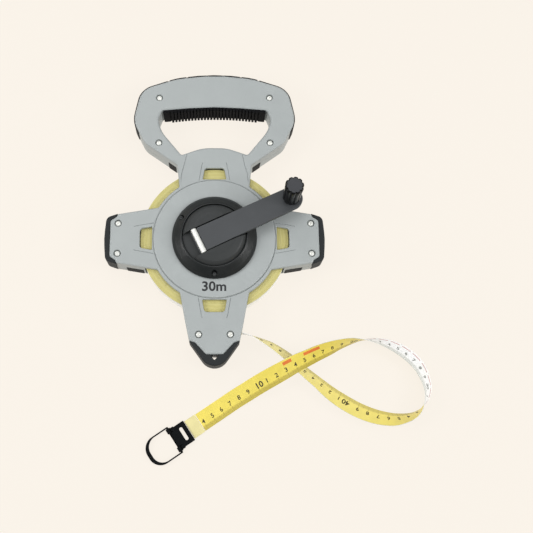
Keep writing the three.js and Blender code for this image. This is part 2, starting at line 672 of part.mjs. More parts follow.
object.add(node('bearing_ring', bearingRing(), BLACK_PLASTIC));
ringScrewSpots().forEach(([x, y], i) => {
  const solid = screw(2.4, RING_HEAD_SEAT + 2, RING_HEAD_SEAT + GAP, 1.3, DEPTH - PLATE - 0.4);
  object.add(node(`ring_screw_${i + 1}`, moved(solid, x, y), BLACK_STEEL));
});
object.add(node('crank_dish', crankDish(), DARK_GREY));
object.add(node('drum_core', drumCore(), WHITE_PLASTIC));
drumScrewSpots().forEach(([x, y], i) => {
  const solid = cylinder(3, COIL_LOW + 0.6, 6.7).add(cylinder(1.9, 6, 29, 0, 0, 8));
  object.add(node(`drum_screw_${i + 1}`, moved(solid, x, y), STEEL));
});
object.add(node('tape_coil', turned([
  [COIL_INNER, COIL_LOW], [COIL_OUTER, COIL_LOW], [COIL_OUTER, COIL_HIGH], [COIL_INNER, COIL_HIGH],
], 60), YELLOW_TAPE));
object.add(node('axle_bush', turned([
  [AXLE_R + GAP, COIL_LOW - 0.6], [BUSH_OUTER, COIL_LOW - 0.6], [BUSH_OUTER, 15.2], [AXLE_R + GAP, 15.2],
], 24), WHITE_PLASTIC));
object.add(node('axle_washer', turned([
  [2.6, WASHER_LOW], [12.8, WASHER_LOW], [12.8, WASHER_LOW + 1.2], [2.6, WASHER_LOW + 1.2],
], 24), STEEL));
object.add(node('axle_screw', screw(4.5, 19.8, WASHER_LOW + 1.5, 2, 6), STEEL));

const crank = new THREE.Group();
crank.position.set(PIN_OFFSET * Math.cos(CRANK_ANGLE), PIN_OFFSET * Math.sin(CRANK_ANGLE), 0);
crank.rotation.z = CRANK_ANGLE;
crank.add(node('hinge_pin', hingePin(), STEEL));
crank.add(node('crank_arm', crankArm(), DARK_GREY));
crank.add(node('knob_spindle', moved(knobSpindle(), KNOB_X, 0), STEEL));
crank.add(node('knob', moved(knobSolid(), KNOB_X, 0), BLACK_PLASTIC));
object.add(crank);

object.add(node('tape_inner_run', innerRun(), YELLOW_TAPE));
object.add(node('tape_strip', strip(TAPE_ROUTE, TAPE_WIDTH, TAPE_THICK, TAPE_STEP), YELLOW_TAPE));

const hook = new THREE.Group();
hook.position.copy(HOOK);
hook.rotation.z = HOOK_ANGLE;
hook.add(node('end_band', endBand(), PALE_BAND));
hook.add(node('buckle', buckle(), BLACK_STEEL));
hook.add(node('hook_ring', hookRing(), BLACK_STEEL));
object.add(hook);

export default object;
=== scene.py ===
"""Open-reel long tape measure: the looks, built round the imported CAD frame.

Helpers take millimetres in the CAD's own axes: the reel's axis is Z through the origin, the handle is
towards +Y, and the tape leaves on the +X side. Meshes are written out in metres.
"""
import math

import bmesh
import bpy
import mathutils
from mathutils import Matrix, Vector


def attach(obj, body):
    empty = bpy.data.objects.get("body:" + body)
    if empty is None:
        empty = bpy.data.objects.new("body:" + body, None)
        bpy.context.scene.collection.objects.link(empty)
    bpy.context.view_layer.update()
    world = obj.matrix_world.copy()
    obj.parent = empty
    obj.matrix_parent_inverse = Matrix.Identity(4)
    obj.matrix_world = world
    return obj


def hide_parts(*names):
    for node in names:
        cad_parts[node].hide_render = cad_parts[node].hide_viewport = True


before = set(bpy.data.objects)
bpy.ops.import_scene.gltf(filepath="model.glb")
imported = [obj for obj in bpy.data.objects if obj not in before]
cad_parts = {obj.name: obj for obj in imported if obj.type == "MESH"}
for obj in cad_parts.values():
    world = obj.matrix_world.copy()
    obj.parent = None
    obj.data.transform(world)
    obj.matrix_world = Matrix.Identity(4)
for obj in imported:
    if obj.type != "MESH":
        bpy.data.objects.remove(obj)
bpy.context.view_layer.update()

MM = 0.001

# ---- sizes, in mm
DEPTH = 26.0
MID = DEPTH / 2
PARTING = 0.15
PLATE = 3.0
WALL = 2.6
BOSS_R = 4.4
HUB_DISC_R = 63.0
RAISED_R = 59.2
RAISED_TOP = 27.5
HUB_OPENING_R = 33.6
COIL_R = 71.8
COIL_ROOM_R = COIL_R + 1.3
COIL_INNER_R = 26.0
COIL_LOW, COIL_HIGH = MID - 9, MID + 9
TAPE_WIDTH, TAPE_THICK = 18.0, 0.5
WINDOW_NEAR, WINDOW_FAR = 60.4, 72.3
WINDOW_NEAR_HALF, WINDOW_FAR_HALF = 11.7, 9.6
CRANK_ANGLE = 25.5  # of the folded crank, in degrees
PIN_OFFSET, PIN_R, PIN_Z = -16.5, 2.7, 40.8
PIN_HALF, PIN_END, PIN_END_R = 12.4, 14.7, 1.5
KNOB_OFFSET, KNOB_TOP = 81.4, 79.5
ARM_TOP, ARM_LOW, ARM_ROOT_LOW = 43.2, 38.9, 36.9
ARM_HALF, ARM_END_HALF = 12.1, 11.2
CHANNEL_HALF, CHANNEL_FLOOR = 12.9, 36.4
HOOK = Vector((-37.2, -188.65, 0))
HOOK_ANGLE = 33.5
HINGE_Z = 2.4

FRAME_SCREWS = [
    (-56, 148.8), (56, 148.8), (-55.7, 99.5), (55.7, 99.5),
    (-93.7, 15.1), (-93.7, -15.1), (93.7, 15.1), (93.7, -15.1),
    (-14.9, -93.6), (14.9, -93.6),
]

# Free tape: [x, y, lift of its lower edge, lean of its width in degrees], as in the CAD.
TAPE_ROUTE = [
    (26.3, -90.6, 4.0, 4), (35.7, -92.9, 3.6, 10), (45.4, -97.2, 2.8, 19), (55.0, -102.0, 1.8, 27),
    (71.2, -113.4, 0.3, 35), (85.8, -126.7, 0, 40), (96.8, -135.8, 0, 44), (108.5, -145.6, 0, 52),
    (120.3, -153.7, 0, 57), (134.7, -161.7, 0, 57), (149.5, -167.3, 0, 53), (164.3, -170.0, 0, 45),
    (174.7, -169.4, 0, 33), (184.4, -166.8, 0, 19), (191.0, -162.4, 0, 4), (196.0, -156.0, 0, -14),
    (199.0, -149.5, 0, -26), (200.5, -142.0, 0, -36), (199.6, -134.2, 0, -43), (194.4, -121.0, 0, -51),
    (184.4, -110.1, 0, -51.5), (170.3, -101.6, 0, -43), (154.0, -96.9, 0, -24.5), (140.0, -96.4, 0.2, -3),
    (129.6, -97.8, 1.0, 13), (118.6, -100.9, 2.4, 26), (107.9, -105.1, 5.0, 39), (97.2, -109.6, 8.6, 47),
    (86.8, -114.7, 12.0, 53), (76.4, -119.6, 14.6, 60), (66.6, -125.0, 15.6, 68), (57.6, -129.7, 14.0, 75),
    (47.8, -134.8, 10.5, 81), (38.4, -140.0, 6.8, 86), (29.3, -145.4, 3.6, 89), (19.9, -151.0, 1.6, 90),
    (5.8, -160.3, 0.7, 90), (-13.2, -172.8, 0.6, 90),
]


# ---- node materials
class Nodes:
    """A material's node tree, with short calls to add and join nodes."""

    def __init__(self, name, roughness, metallic=0.0, coat=0.0):
        self.material = bpy.data.materials.new(name)
        self.material.use_nodes = True
        self.tree = self.material.node_tree
        self.shader = self.tree.nodes["Principled BSDF"]
        self.surface("Roughness", roughness)
        self.surface("Metallic", metallic)
        self.surface("Coat Weight", coat)
        self.surface("Coat Roughness", 0.2)

    def add(self, kind, inputs=None, **settings):
        node = self.tree.nodes.new(kind)
        for key, value in settings.items():
            setattr(node, key, value)
        for key, value in (inputs or {}).items():
            self.feed(value, node.inputs[key])
        return node

    def feed(self, value, socket):
        if isinstance(value, bpy.types.NodeSocket):
            self.tree.links.new(value, socket)
        else:
            socket.default_value = value

    def surface(self, name, value):
        """Sets one of the surface's inputs, from a value or from another node."""
        self.feed(value, self.shader.inputs[name])

    def math(self, operation, a, b=0.0, c=0.0):
        return self.add("ShaderNodeMath", {0: a, 1: b, 2: c}, operation=operation).outputs[0]

    def step(self, value, low, high):
        """0 at low and 1 at high, clamped between."""
        return self.add("ShaderNodeMapRange", {0: value, 1: low, 2: high}).outputs[0]

    def mix(self, factor, a, b):
        node = self.add("ShaderNodeMix", data_type="RGBA")
        self.feed(factor, node.inputs["Factor"])
        self.feed(a, node.inputs[6])
        self.feed(b, node.inputs[7])
        return node.outputs[2]

    def position(self):
        """The point on the piece, in mm."""
        coordinates = self.add("ShaderNodeTexCoord").outputs["Object"]
        return self.add("ShaderNodeVectorMath", {0: coordinates, 3: 1 / MM}, operation="SCALE").outputs[0]

    def noise(self, point, scale, detail=2.0):
        return self.add("ShaderNodeTexNoise", {"Vector": point, "Scale": scale, "Detail": detail}).outputs[0]

    def axes(self, point):
        return self.add("ShaderNodeSeparateXYZ", {0: point}).outputs

    def radius(self, point):
        """The distance from the reel's axis."""
        x, y, _ = self.axes(point)
        return self.math("SQRT", self.math("MULTIPLY_ADD", x, x, self.math("MULTIPLY", y, y)))

    def colour(self, value):
        self.surface("Base Color", value)

    def bump(self, height, strength, depth_mm):
        bump = self.add("ShaderNodeBump", {"Strength": strength, "Distance": depth_mm * MM, "Height": height})
        self.surface("Normal", bump.outputs[0])


def linear(r, g, b):
    """A colour given in sRGB, 0 to 255, as the linear RGBA that nodes take."""
    return tuple(mathutils.Color((r / 255, g / 255, b / 255)).from_srgb_to_scene_linear()) + (1.0,)


def toned(colour, share, more=0.0):
    """The colour made darker or lighter: multiplied by share, then raised by more."""
    return tuple(min(c * share + more, 1.0) for c in colour[:3]) + (1.0,)


# ---- outlines
def mirrored(half):
    """A closed outline from its right half, given from bottom to top as (x, y, corner radius)."""
    return half + [(-x, y, r) for x, y, r in reversed(half) if x > 0]


def mirrored_up(half):
    """A closed outline from its lower half."""
    return half + [(x, -y, r) for x, y, r in reversed(half)]


def arc(radius, start, end, step=4):
    """Corners along a circle about the origin, between two angles in degrees."""
    count = max(1, round(abs(end - start) / step))
    angles = [math.radians(start + (end - start) * i / count) for i in range(count + 1)]
    return [(radius * math.cos(a), radius * math.sin(a), 0) for a in angles]


def circle(radius, x=0.0, y=0.0, step=4):
    return [(x + cx, y + cy, 0) for cx, cy, _ in arc(radius, 0, 360 - step, step)]


def rectangle(x0, x1, y0, y1, radius=0.0):
    return [(x0, y0, radius), (x1, y0, radius), (x1, y1, radius), (x0, y1, radius)]


def turned_outline(corners, degrees):
    a = math.radians(degrees)
    return [(x * math.cos(a) - y * math.sin(a), x * math.sin(a) + y * math.cos(a), r) for x, y, r in corners]


def offset_points(corners, inset=0.0, step=6):
    """The outline moved inwards by inset, with as many points on each rounded corner whatever the inset."""
    points = []
    for i, (x, y, r) in enumerate(corners):
        x0, y0, _ = corners[i - 1]
        x1, y1, _ = corners[(i + 1) % len(corners)]
        u = Vector((x - x0, y - y0)).normalized()
        v = Vector((x1 - x, y1 - y)).normalized()
        turn = math.atan2(u.x * v.y - u.y * v.x, u.dot(v))
        corner = Vector((x, y)) + Vector((-(u.y + v.y), u.x + v.x)) * (inset / (1 + u.dot(v)))
        if not r:
            points.append(corner)
            continue
        side = math.copysign(1, turn)
        radius = max(r - side * inset, 0)
        normal = Vector((-u.y, u.x)) * side
        centre = corner - u * radius * math.tan(abs(turn) / 2) + normal * radius
        steps = max(2, math.ceil(math.degrees(abs(turn)) / step))
        spoke = normal * -radius
        points += [centre + Matrix.Rotation(turn * k / steps, 2) @ spoke for k in range(steps + 1)]
    return points


BOTTOM_ARM = [(8.1, -112.1, 2.5), (18.2, -101.2, 3.5), (23.9, -99.2, 1.2), (27, -84.8, 30)]
SIDE_ARM = [(18.2, -101.3, 4), (21.6, -95.6, 1.5), (24.7, -94.2, 1.2)]
HANDLE_SIDE = [
    (36.9, 75.6, 3), (70.2, 99.4, 18), (82, 123.5, 26), (74.4, 158.2, 20), (40, 169.6, 60), (0, 175.8, 200)]
HANDLE = mirrored([(33.4, 40, 0)] + HANDLE_SIDE)
STRAP = mirrored([(33.4, 40, 0)] + HANDLE_SIDE[:3] + [(74.8, 158.6, 20), (40, 170.6, 60), (0, 177.3, 200)])
HANDLE_OPENING = mirrored([
    (12, 94.1, 40), (33, 86.6, 2.5), (52.8, 111.2, 30), (57.2, 124.4, 14), (53.2, 134.8, 3), (0, 139.4, 300)])
ARM_FOOT = (54.6, 31.3)
SIDE_ARM_CLOSED = mirrored(SIDE_ARM + [(31.6, -53, 0), (32, -30, 0)])
BOTTOM_ARM_CLOSED = mirrored(BOTTOM_ARM + [(32.8, -58, 0), (34, -30, 0)])
SIDE_BUMPER = mirrored([(0, -107.3, 90), (21.6, -105.4, 6), (25.4, -94.4, 0.5)])
TIP_BUMPER = mirrored([(0, -132.9, 14.3), (24, -99.6, 0.3)])
TIP_HOLE = mirrored([(0, -117.4, 0.6), (6.6, -110.2, 1)])
WINDOW = mirrored([(WINDOW_NEAR_HALF, WINDOW_NEAR, 0.8), (WINDOW_FAR_HALF, WINDOW_FAR, 3.2)])


def frame_outline():
    """The whole frame seen from the front: bottom arm, side arms and handle, and the round middle."""
    upper = [(-y, x, r) for x, y, r in SIDE_ARM] + [(*ARM_FOOT, 2.5)]
    lower = [(x, -y, r) for x, y, r in reversed(upper)]
    return mirrored(
        BOTTOM_ARM + [(32.9, -53.75, 2.5)] + arc(HUB_DISC_R, -56, -32.5)
        + lower + upper + arc(HUB_DISC_R, 32.5, 54.5) + [(34.7, 52.6, 2.5)] + HANDLE_SIDE)


# ---- meshes
SUPPORT = 0.3  # width of the flat strip that keeps a face's shading level beside a rounded edge


def edge_levels(z, radius, sign, wall):
    """(height, inset) from the wall to the face at z; sign is 1 for an upper face and -1 for a lower one."""
    if not radius:
        return [(z, 0.0)]
    angles = [math.pi / 2 * k / 4 for k in range(5)]
    curve = [(z - sign * radius * (1 - math.sin(a)), radius * (1 - math.cos(a))) for a in angles]
    start = [(z - sign * (radius + SUPPORT), 0.0)] if wall else []
    return start + curve + [(z, radius + SUPPORT)]


def linked(name, data):
    obj = bpy.data.objects.new(name, data)
    bpy.context.collection.objects.link(obj)
    return obj


def from_bmesh(name, bm):
    mesh = bpy.data.meshes.new(name)
    bm.to_mesh(mesh)
    bm.free()
    return linked(name, mesh)


def new_object(name, bm):
    """An object from a bmesh in mm, with its faces turned outwards."""
    bmesh.ops.scale(bm, vec=(MM, MM, MM), verts=bm.verts)
    bmesh.ops.recalc_face_normals(bm, faces=bm.faces)
    return from_bmesh(name, bm)


def bridge(bm, ring, above):
    for i in range(len(ring)):
        j = (i + 1) % len(ring)
        bm.faces.new((ring[i], ring[j], above[j], above[i]))


def stack(bm, rings):
    """Walls from each ring of corners to the next."""
    for ring, above in zip(rings, rings[1:]):
        bridge(bm, ring, above)


def spun(profile, sides):
    """A bmesh turned about Z from its closed profile of (radius, height)."""
    bm = bmesh.new()
    rings = []
    for i in range(sides):
        a = 2 * math.pi * i / sides
        rings.append([bm.verts.new((r * math.cos(a), r * math.sin(a), z)) for r, z in profile])
    stack(bm, rings + rings[:1])
    return bm


def edge(corners, low=0.0, high=0.0, inset=0.0):
    """A plate's outer edge, with the rounding at its lower and upper faces."""
    return (corners, 1, low, high, inset)


def hole(corners, low=0.0, high=0.0, inset=0.0):
    return (corners, -1, low, high, inset)


def plate(name, low, high, *loops, step=6):
    """A flat piece between two heights from its outer edge and holes, all with rounded edges."""
    bm = bmesh.new()
    for corners, side, round_low, round_high, inset in loops:
        wall = high - low > round_low + round_high + 2 * SUPPORT
        levels = edge_levels(low, round_low, -1, wall)[::-1] + edge_levels(high, round_high, 1, wall)
        rings = [
            [bm.verts.new((p.x, p.y, z)) for p in offset_points(corners, inset + side * more, step)]
            for z, more in levels]
        stack(bm, rings)
    bmesh.ops.remove_doubles(bm, verts=bm.verts, dist=0.01)
    for z in (low, high):
        rim = [e for e in bm.edges if e.is_boundary and all(abs(v.co.z - z) < 1e-4 for v in e.verts)]
        bmesh.ops.triangle_fill(bm, edges=rim, use_beauty=True, use_dissolve=False)
    return new_object(name, bm)


def lathe(name, profile, sides=96, step=15):
    """A piece turned about Z from its closed profile of (radius, height, corner radius)."""
    bm = spun(offset_points(profile, 0, step), sides)
    bmesh.ops.remove_doubles(bm, verts=bm.verts, dist=0.002)
    bmesh.ops.delete(bm, geom=[e for e in bm.edges if not e.link_faces], context="EDGES")
    return new_object(name, bm)


def cylinder(radius, low, high, sides=32, rounding=0.0):
    profile = [(0, low, 0), (radius, low, rounding), (radius, high, rounding), (0, high, 0)]
    return lathe("cylinder", profile, sides)


def box(x0, x1, y0, y1, z0, z1):
    return plate("box", z0, z1, edge(rectangle(x0, x1, y0, y1)))


def moved(obj, x=0.0, y=0.0, z=0.0, degrees=0.0):
    """Turns the mesh about Z, then moves it, in mm."""
    turn = Matrix.Rotation(math.radians(degrees), 4, "Z")
    obj.data.transform(Matrix.Translation(Vector((x, y, z)) * MM) @ turn)
    return obj


def lying(obj, z):
    """Turns the mesh so that its Z axis lies along Y, at that height."""
    obj.data.transform(Matrix.Rotation(math.radians(-90), 4, "X"))
    return moved(obj, z=z)


def combine(target, tool, operation="DIFFERENCE"):
    """Cuts tool from target, or joins it, and removes tool."""
    modifier = target.modifiers.new("combine", "BOOLEAN")
    modifier.operation = operation
    modifier.object = tool
    modifier.solver = "EXACT"
    bpy.context.view_layer.update()
    graph = bpy.context.evaluated_depsgraph_get()
    mesh = bpy.data.meshes.new_from_object(target.evaluated_get(graph))
    target.modifiers.clear()
    target.data = mesh
    bpy.data.objects.remove(tool)
    return target


def joined(name, objects):
    """One object from several that don't touch."""
    bm = bmesh.new()
    for obj in objects:
        bm.from_mesh(obj.data)
        bpy.data.objects.remove(obj)
    return from_bmesh(name, bm)


def finished(obj, name, material, body, nodes, sharp=38):
    """Names, shades and paints a piece, and joins it to its CAD body."""
    obj.name = name
    obj.data.materials.clear()
    obj.data.materials.append(material)
    obj.data.shade_smooth()
    obj.data.set_sharp_from_angle(angle=math.radians(sharp))
    normals = obj.modifiers.new("normals", "WEIGHTED_NORMAL")
    normals.keep_sharp = True
    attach(obj, body)
    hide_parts(*nodes)


# ---- materials
def moulded(
        name, colour, roughness, grain=1.6, bump=0.12, mottle=0.06, coat=0.0, worn=0.25, shine=0.5,
        ridges=0.0):
    """Moulded plastic or rubber: a fine grain, faint mottling, and edges worn a little lighter.

    ridges is the pitch, in mm, of fine turned rings round the reel's axis.
    """
    n = Nodes(name, roughness, coat=coat)
    n.surface("Specular IOR Level", shine)
    point = n.position()
    cloud = n.step(n.noise(point, 0.06, 3.0), 0.3, 0.7)
    shade = n.mix(cloud, toned(colour, 1 - mottle), toned(colour, 1 + mottle, 0.001))
    edges = n.step(n.add("ShaderNodeNewGeometry").outputs["Pointiness"], 0.52, 0.62)
    rub = n.math("MULTIPLY", edges, n.step(n.noise(point, 0.25, 4.0), 0.35, 0.75))
    n.colour(n.mix(n.math("MULTIPLY", rub, worn), shade, toned(colour, 1.25, 0.02)))
    relief = n.noise(point, grain, 2.0)
    if ridges:
        phase = n.math("MULTIPLY", n.radius(point), 2 * math.pi / ridges)
        relief = n.math("ADD", relief, n.math("SINE", phase))
    n.bump(relief, bump, 0.15)
    n.surface("Roughness", n.math("MULTIPLY_ADD", cloud, 0.08, roughness - 0.04))
    return n.material


def metal(name, colour, roughness, streak=0.5, metallic=1.0):
    """Plated or painted steel with fine, slightly uneven scratches."""
    n = Nodes(name, roughness, metallic=metallic)
    point = n.position()
    cloud = n.step(n.noise(point, 0.6, 4.0), 0.3, 0.7)
    n.colour(n.mix(cloud, toned(colour, 1 - 0.18 * streak), colour))
    n.bump(n.noise(point, 3.0, 2.0), 0.05 * streak, 0.03)
    n.surface("Roughness", n.math("MULTIPLY_ADD", cloud, 0.12, roughness - 0.06))
    return n.material


def tape_marks(n, along, across, lengths):
    """1 on the printed scale: millimetre, half-centimetre and centimetre marks of those lengths."""
    marks = 0.0
    for (pitch, width), length in zip(((1, 0.3), (5, 0.36), (10, 0.45)), lengths):
        phase = n.math("FRACT", n.math("DIVIDE", n.math("ADD", along, width / 2), pitch))
        on = n.math("LESS_THAN", phase, width / pitch)
        marks = n.math("MAXIMUM", marks, n.math("MULTIPLY", on, n.math("LESS_THAN", across, length)))
    return marks


STRIP_WIDTH = 4.6  # of the darker strip that carries the scale, along the tape's edge
MARK_LENGTHS = (3.6, 4.5, 5.4)
SHEEN_FROM, SHEEN_TO, SHEEN_SHARE = 220, 520, 0.7  # readings between which a painted sheen makes the tape's colour paler, and how far


def tape_face(name, colour, strip, sheen_colour, ink, from_far_edge):
    """One printed face of the tape, from its "tape" attribute: mm along it, and mm from its lower edge.

    Its colour turns paler towards the reel: a painted sheen.
    """
    n = Nodes(name, 0.42, coat=0.25)
    where = n.axes(n.add("ShaderNodeAttribute", attribute_name="tape").outputs["Vector"])
    across = n.math("SUBTRACT", TAPE_WIDTH, where[1]) if from_far_edge else where[1]
    marks = tape_marks(n, where[0], across, MARK_LENGTHS)
    point = n.position()
    cloud = n.step(n.noise(point, 0.12, 3.0), 0.3, 0.7)
    plain = n.mix(cloud, toned(colour, 0.95), toned(colour, 1.06))
    base = n.mix(n.step(across, STRIP_WIDTH + 0.2, STRIP_WIDTH - 0.2), plain, strip)
    # painted sheen: the face is mixed towards a paler colour nearer the reel
    base = n.mix(n.math("MULTIPLY", n.step(where[0], SHEEN_FROM, SHEEN_TO), SHEEN_SHARE), base, sheen_colour)
    n.colour(n.mix(n.math("MULTIPLY", marks, 0.6), base, ink))
    weave = n.math("MULTIPLY", n.math("SINE", n.math("MULTIPLY", where[0], 7.0)),
                   n.math("SINE", n.math("MULTIPLY", where[1], 9.0)))
    n.bump(weave, 0.05, 0.05)
    return n.material


def flat_ink(name, r, g, b):
    return moulded(name, linear(r, g, b), 0.5, bump=0.0, worn=0.0)


def wound_face(name):
    """The edges of the wound tape: fine rings, some paler and some in shade."""
    n = Nodes(name, 0.6)
    ring = n.add("ShaderNodeCombineXYZ", {"X": n.radius(n.position())}).outputs[0]
    fine = n.step(n.noise(ring, 1.7, 3.0), 0.25, 0.75)
    broad = n.step(n.noise(ring, 0.35, 2.0), 0.3, 0.7)
    olive = n.mix(fine, linear(176, 166, 92), linear(214, 204, 132))
    n.colour(n.mix(n.math("MULTIPLY", broad, 0.35), olive, linear(226, 219, 160)))
    n.bump(fine, 0.5, 0.3)
    return n.material


GREY = moulded("grey_shell", linear(167, 172, 171), 0.46, bump=0.07, mottle=0.025)
RUBBER = moulded("black_rubber", linear(35, 38, 39), 0.62, grain=2.2, bump=0.2, worn=0.15, shine=0.3)
GRIP_BLACK = moulded("grip_rubber", linear(12, 12, 14), 0.8, grain=2.2, bump=0.15, worn=0.0, shine=0.15)
STRAP_BLACK = moulded("strap_rubber", linear(24, 26, 27), 0.7, grain=2.2, bump=0.15, worn=0.0, shine=0.25)
BLACK = moulded("black_plastic", linear(18, 22, 22), 0.34, bump=0.22, worn=0.1, shine=0.45, ridges=0.9)
ARM_GREY = moulded("arm_plastic", linear(73, 75, 77), 0.45, bump=0.1, mottle=0.04, worn=0.2, shine=0.3)
DISH_GREY = moulded("dish_plastic", linear(55, 57, 57), 0.42, bump=0.08, mottle=0.04, worn=0.1, shine=0.25)
KNOB_BLACK = moulded("knob_plastic", linear(9, 9, 10), 0.2, bump=0.02, worn=0.0, shine=0.14)
KNOB_TOP_GREY = moulded("knob_cap", linear(64, 65, 68), 0.6, grain=2.5, bump=0.3, shine=0.3)
WHITE = moulded("white_plastic", linear(232, 231, 224), 0.45, bump=0.05)
# near-white base colour: the steel's own pale tone together with a painted highlight, for the hinge pin and
# the screw heads
STEEL_PAINTED_HIGHLIGHT = metal("steel_painted_highlight", linear(244, 244, 238), 0.4, streak=0.25, metallic=0.25)
BLACK_STEEL = metal("black_steel", linear(30, 31, 32), 0.36, streak=1.0)
RING_SCREW_BLACK = metal("dark_screw", linear(62, 64, 64), 0.45, metallic=0.3)
INK = flat_ink("black_print", 28, 30, 32)
BROWN_INK = flat_ink("brown_print", 62, 55, 26)
GREY_INK = flat_ink("grey_print", 122, 126, 118)
RED_INK = flat_ink("orange_print", 226, 120, 48)
PALE_RED_INK = flat_ink("pale_red_print", 206, 150, 142)
# the third colour of each face is a painted sheen, paler towards the reel
YELLOW_FACE = tape_face(
    "tape_yellow", colour=linear(237, 217, 92), strip=linear(211, 191, 76), sheen_colour=linear(242, 232, 158),
    ink=linear(96, 84, 34), from_far_edge=False)
WHITE_FACE = tape_face(
    "tape_white", colour=linear(254, 254, 250), strip=linear(232, 233, 226), sheen_colour=linear(254, 254, 250),
    ink=linear(140, 142, 136), from_far_edge=True)
WOUND = wound_face("tape_wound")
BAND = moulded("clear_band", linear(226, 215, 153), 0.4, grain=1.1, bump=0.6, mottle=0.14, coat=0.2, worn=0.0)


# ---- frame shells
def windows(low, high):
    """The four windows, with their rims rounded by low behind and by high in front."""
    return [hole(turned_outline(WINDOW, angle), low, high) for angle in (0, 90, 180, 270)]


def cavity(low, high):
    """The hollow between a shell's walls, with the screw bosses left standing."""
    room = plate("cavity", low, high, edge(frame_outline(), inset=WALL), hole(HANDLE_OPENING, inset=-WALL))
    combine(room, plate("coil_room", low - 0.01, high + 0.01, edge(circle(COIL_ROOM_R))), "UNION")
    bosses = [plate("boss", low - 1, high + 1, edge(circle(BOSS_R, x, y, 15))) for x, y in FRAME_SCREWS]
    return combine(room, joined("bosses", bosses))


STRAP_LOW, STRAP_HIGH, STRAP_OUT, STRAP_IN = 4.2, 23.6, 0.9, 1.2
STRAP_END = 112.0
STRAP_NOTCHES = (-47, -28, -7.6, 8.6, 27, 45)
STRAP_CROWN, STRAP_FALL = 175.0, 0.0030625  # the strap's outer face along the bar: y = crown - fall * x * x


def strap_ring(name, low, high, outer, inner, rounding=0.0):
    """A band round the handle's outer edge, above its lower ends."""
    ring = plate(name, low, high, edge(STRAP, rounding, rounding, -outer), hole(HANDLE, inset=inner))
    return combine(ring, box(-95, 95, STRAP_END, 185, low - 1, high + 1), "INTERSECT")


PAD_LOW, PAD_DEEP, PAD_PROUD = 0.8, 1.6, 0.3
PADS = [  # name, length, top, place on the wall and turn
    ("arm_pad_left_lower", 16.8, 14, -77.1, -27.57, 170.5),
    ("arm_pad_left_upper", 16.8, 14, -77.1, 27.57, 9.5),
    ("arm_pad_right_lower", 16.8, 14, 77.1, -27.57, 189.5),
    ("arm_pad_right_upper", 16.8, 14, 77.1, 27.57, -9.5),
    ("crook_pad_left", 9.4, 16, -42.3, 79.5, 144.4),
    ("crook_pad_right", 9.4, 16, 42.3, 79.5, 215.6),
]
GRIP_SEAT = (-52.2, 52.2, 132, 141.6, 1.2, DEPTH - 1.2)
TAPE_SLOT = (21, 31, -92.4, -88.4, COIL_LOW - 0.6, COIL_HIGH + 0.6)
ROOM = 0.2  # between a pad or the strap and its seat


def common_cuts(shell):
    """What both shells leave free: the strap's groove, the seats of pads and grip, and the tape's slot."""
    combine(shell, strap_ring("groove", STRAP_LOW - ROOM, STRAP_HIGH + ROOM, 4, STRAP_IN + ROOM))
    for _, length, top, x, y, turn in PADS:
        half = length / 2 + ROOM
        seat = box(-half, half, -PAD_DEEP - ROOM, 2, PAD_LOW - ROOM, top + ROOM)
        combine(shell, moved(seat, x, y, 0, turn))
    combine(shell, box(*GRIP_SEAT))
    combine(shell, box(*TAPE_SLOT))


# Shallow creases on the front face, from point to point; each has its mirror image.
NECK_CREASE = [(27.4, 88), (29.3, 78.5), (32.4, 66.9), (33.2, 58)]
WINDOW_CREASE = [(11.6, 78), (12.3, 76), (15.3, 59)]
CREASE_WIDTH, CREASE_DEPTH = 0.9, 0.6


def crease(points):
    """A cutter along the line, V-shaped and CREASE_DEPTH deep in the front face."""
    bm = bmesh.new()
    rings = []
    for i, (x, y, _) in enumerate(points):
        before, after = points[max(i - 1, 0)], points[min(i + 1, len(points) - 1)]
        along = Vector((after[0] - before[0], after[1] - before[1])).normalized()
        side = Vector((-along.y, along.x, 0)) * (CREASE_WIDTH / 2)
        above = Vector((x, y, DEPTH + 0.2))
        below = Vector((x, y, DEPTH - CREASE_DEPTH))
        rings.append([bm.verts.new(p) for p in (above - side, below, above + side)])
    stack(bm, rings)
    bm.faces.new(rings[0])
    bm.faces.new(rings[-1][::-1])
    return new_object("crease", bm)


def creases():
    """Both creases of the neck and of the four windows, as one cutter."""
    lines = [(NECK_CREASE, 0)] + [(WINDOW_CREASE, degrees) for degrees in (0, 90, 180, 270)]
    cutters = []
    for points, degrees in lines:
        for side in (1, -1):
            cutters.append(crease(turned_outline([(side * x, y, 0) for x, y in points], degrees)))
    return joined("creases", cutters)


SHANK_BORE_R, WELL_R, WELL_FLOOR = 1.9, 3.5, 22.6


def screw_wells():
    """The ten wells that the screws' heads lie in, as one cutter."""
    profile = [
        (0, 8, 0), (SHANK_BORE_R, 8, 0), (SHANK_BORE_R, WELL_FLOOR, 0), (WELL_R, WELL_FLOOR, 0.2),
        (WELL_R, DEPTH - 0.3, 0), (WELL_R + 0.4, DEPTH + 0.1, 0), (WELL_R + 0.4, 30, 0), (0, 30, 0)]
    return joined("wells", [moved(lathe("well", profile, 32), x, y) for x, y in FRAME_SCREWS])


def disc_edge(outside):
    """A circle that far outside the raised disc's edge."""
    return circle(RAISED_R + outside, step=3)


def front_shell():
    """The front shell, with the raised disc and a fine line round it."""
    low = MID + PARTING
    shell = plate(
        "front", low, DEPTH, edge(frame_outline(), 0.3, 1.7), hole(HANDLE_OPENING, 0.3, 2.2),
        *windows(0, 0.7), hole(circle(HUB_OPENING_R)))
    combine(shell, cavity(low - 1, DEPTH - PLATE))
    opening = hole(circle(HUB_OPENING_R + 0.01))
    combine(shell, plate("disc", DEPTH - 2, RAISED_TOP, edge(disc_edge(0), 0, 1.1), opening), "UNION")
    combine(shell, plate("line", DEPTH - 0.5, DEPTH + 1, edge(disc_edge(0.6)), hole(disc_edge(0.02))))
    combine(shell, screw_wells())
    combine(shell, creases())
    common_cuts(shell)
    finished(shell, "front_shell_body", GREY, "frame", ["front_shell"])


POST_R, POST_TOP, POST_BORE_R, POST_BORE_LOW = 9, 15, 2.3, 5


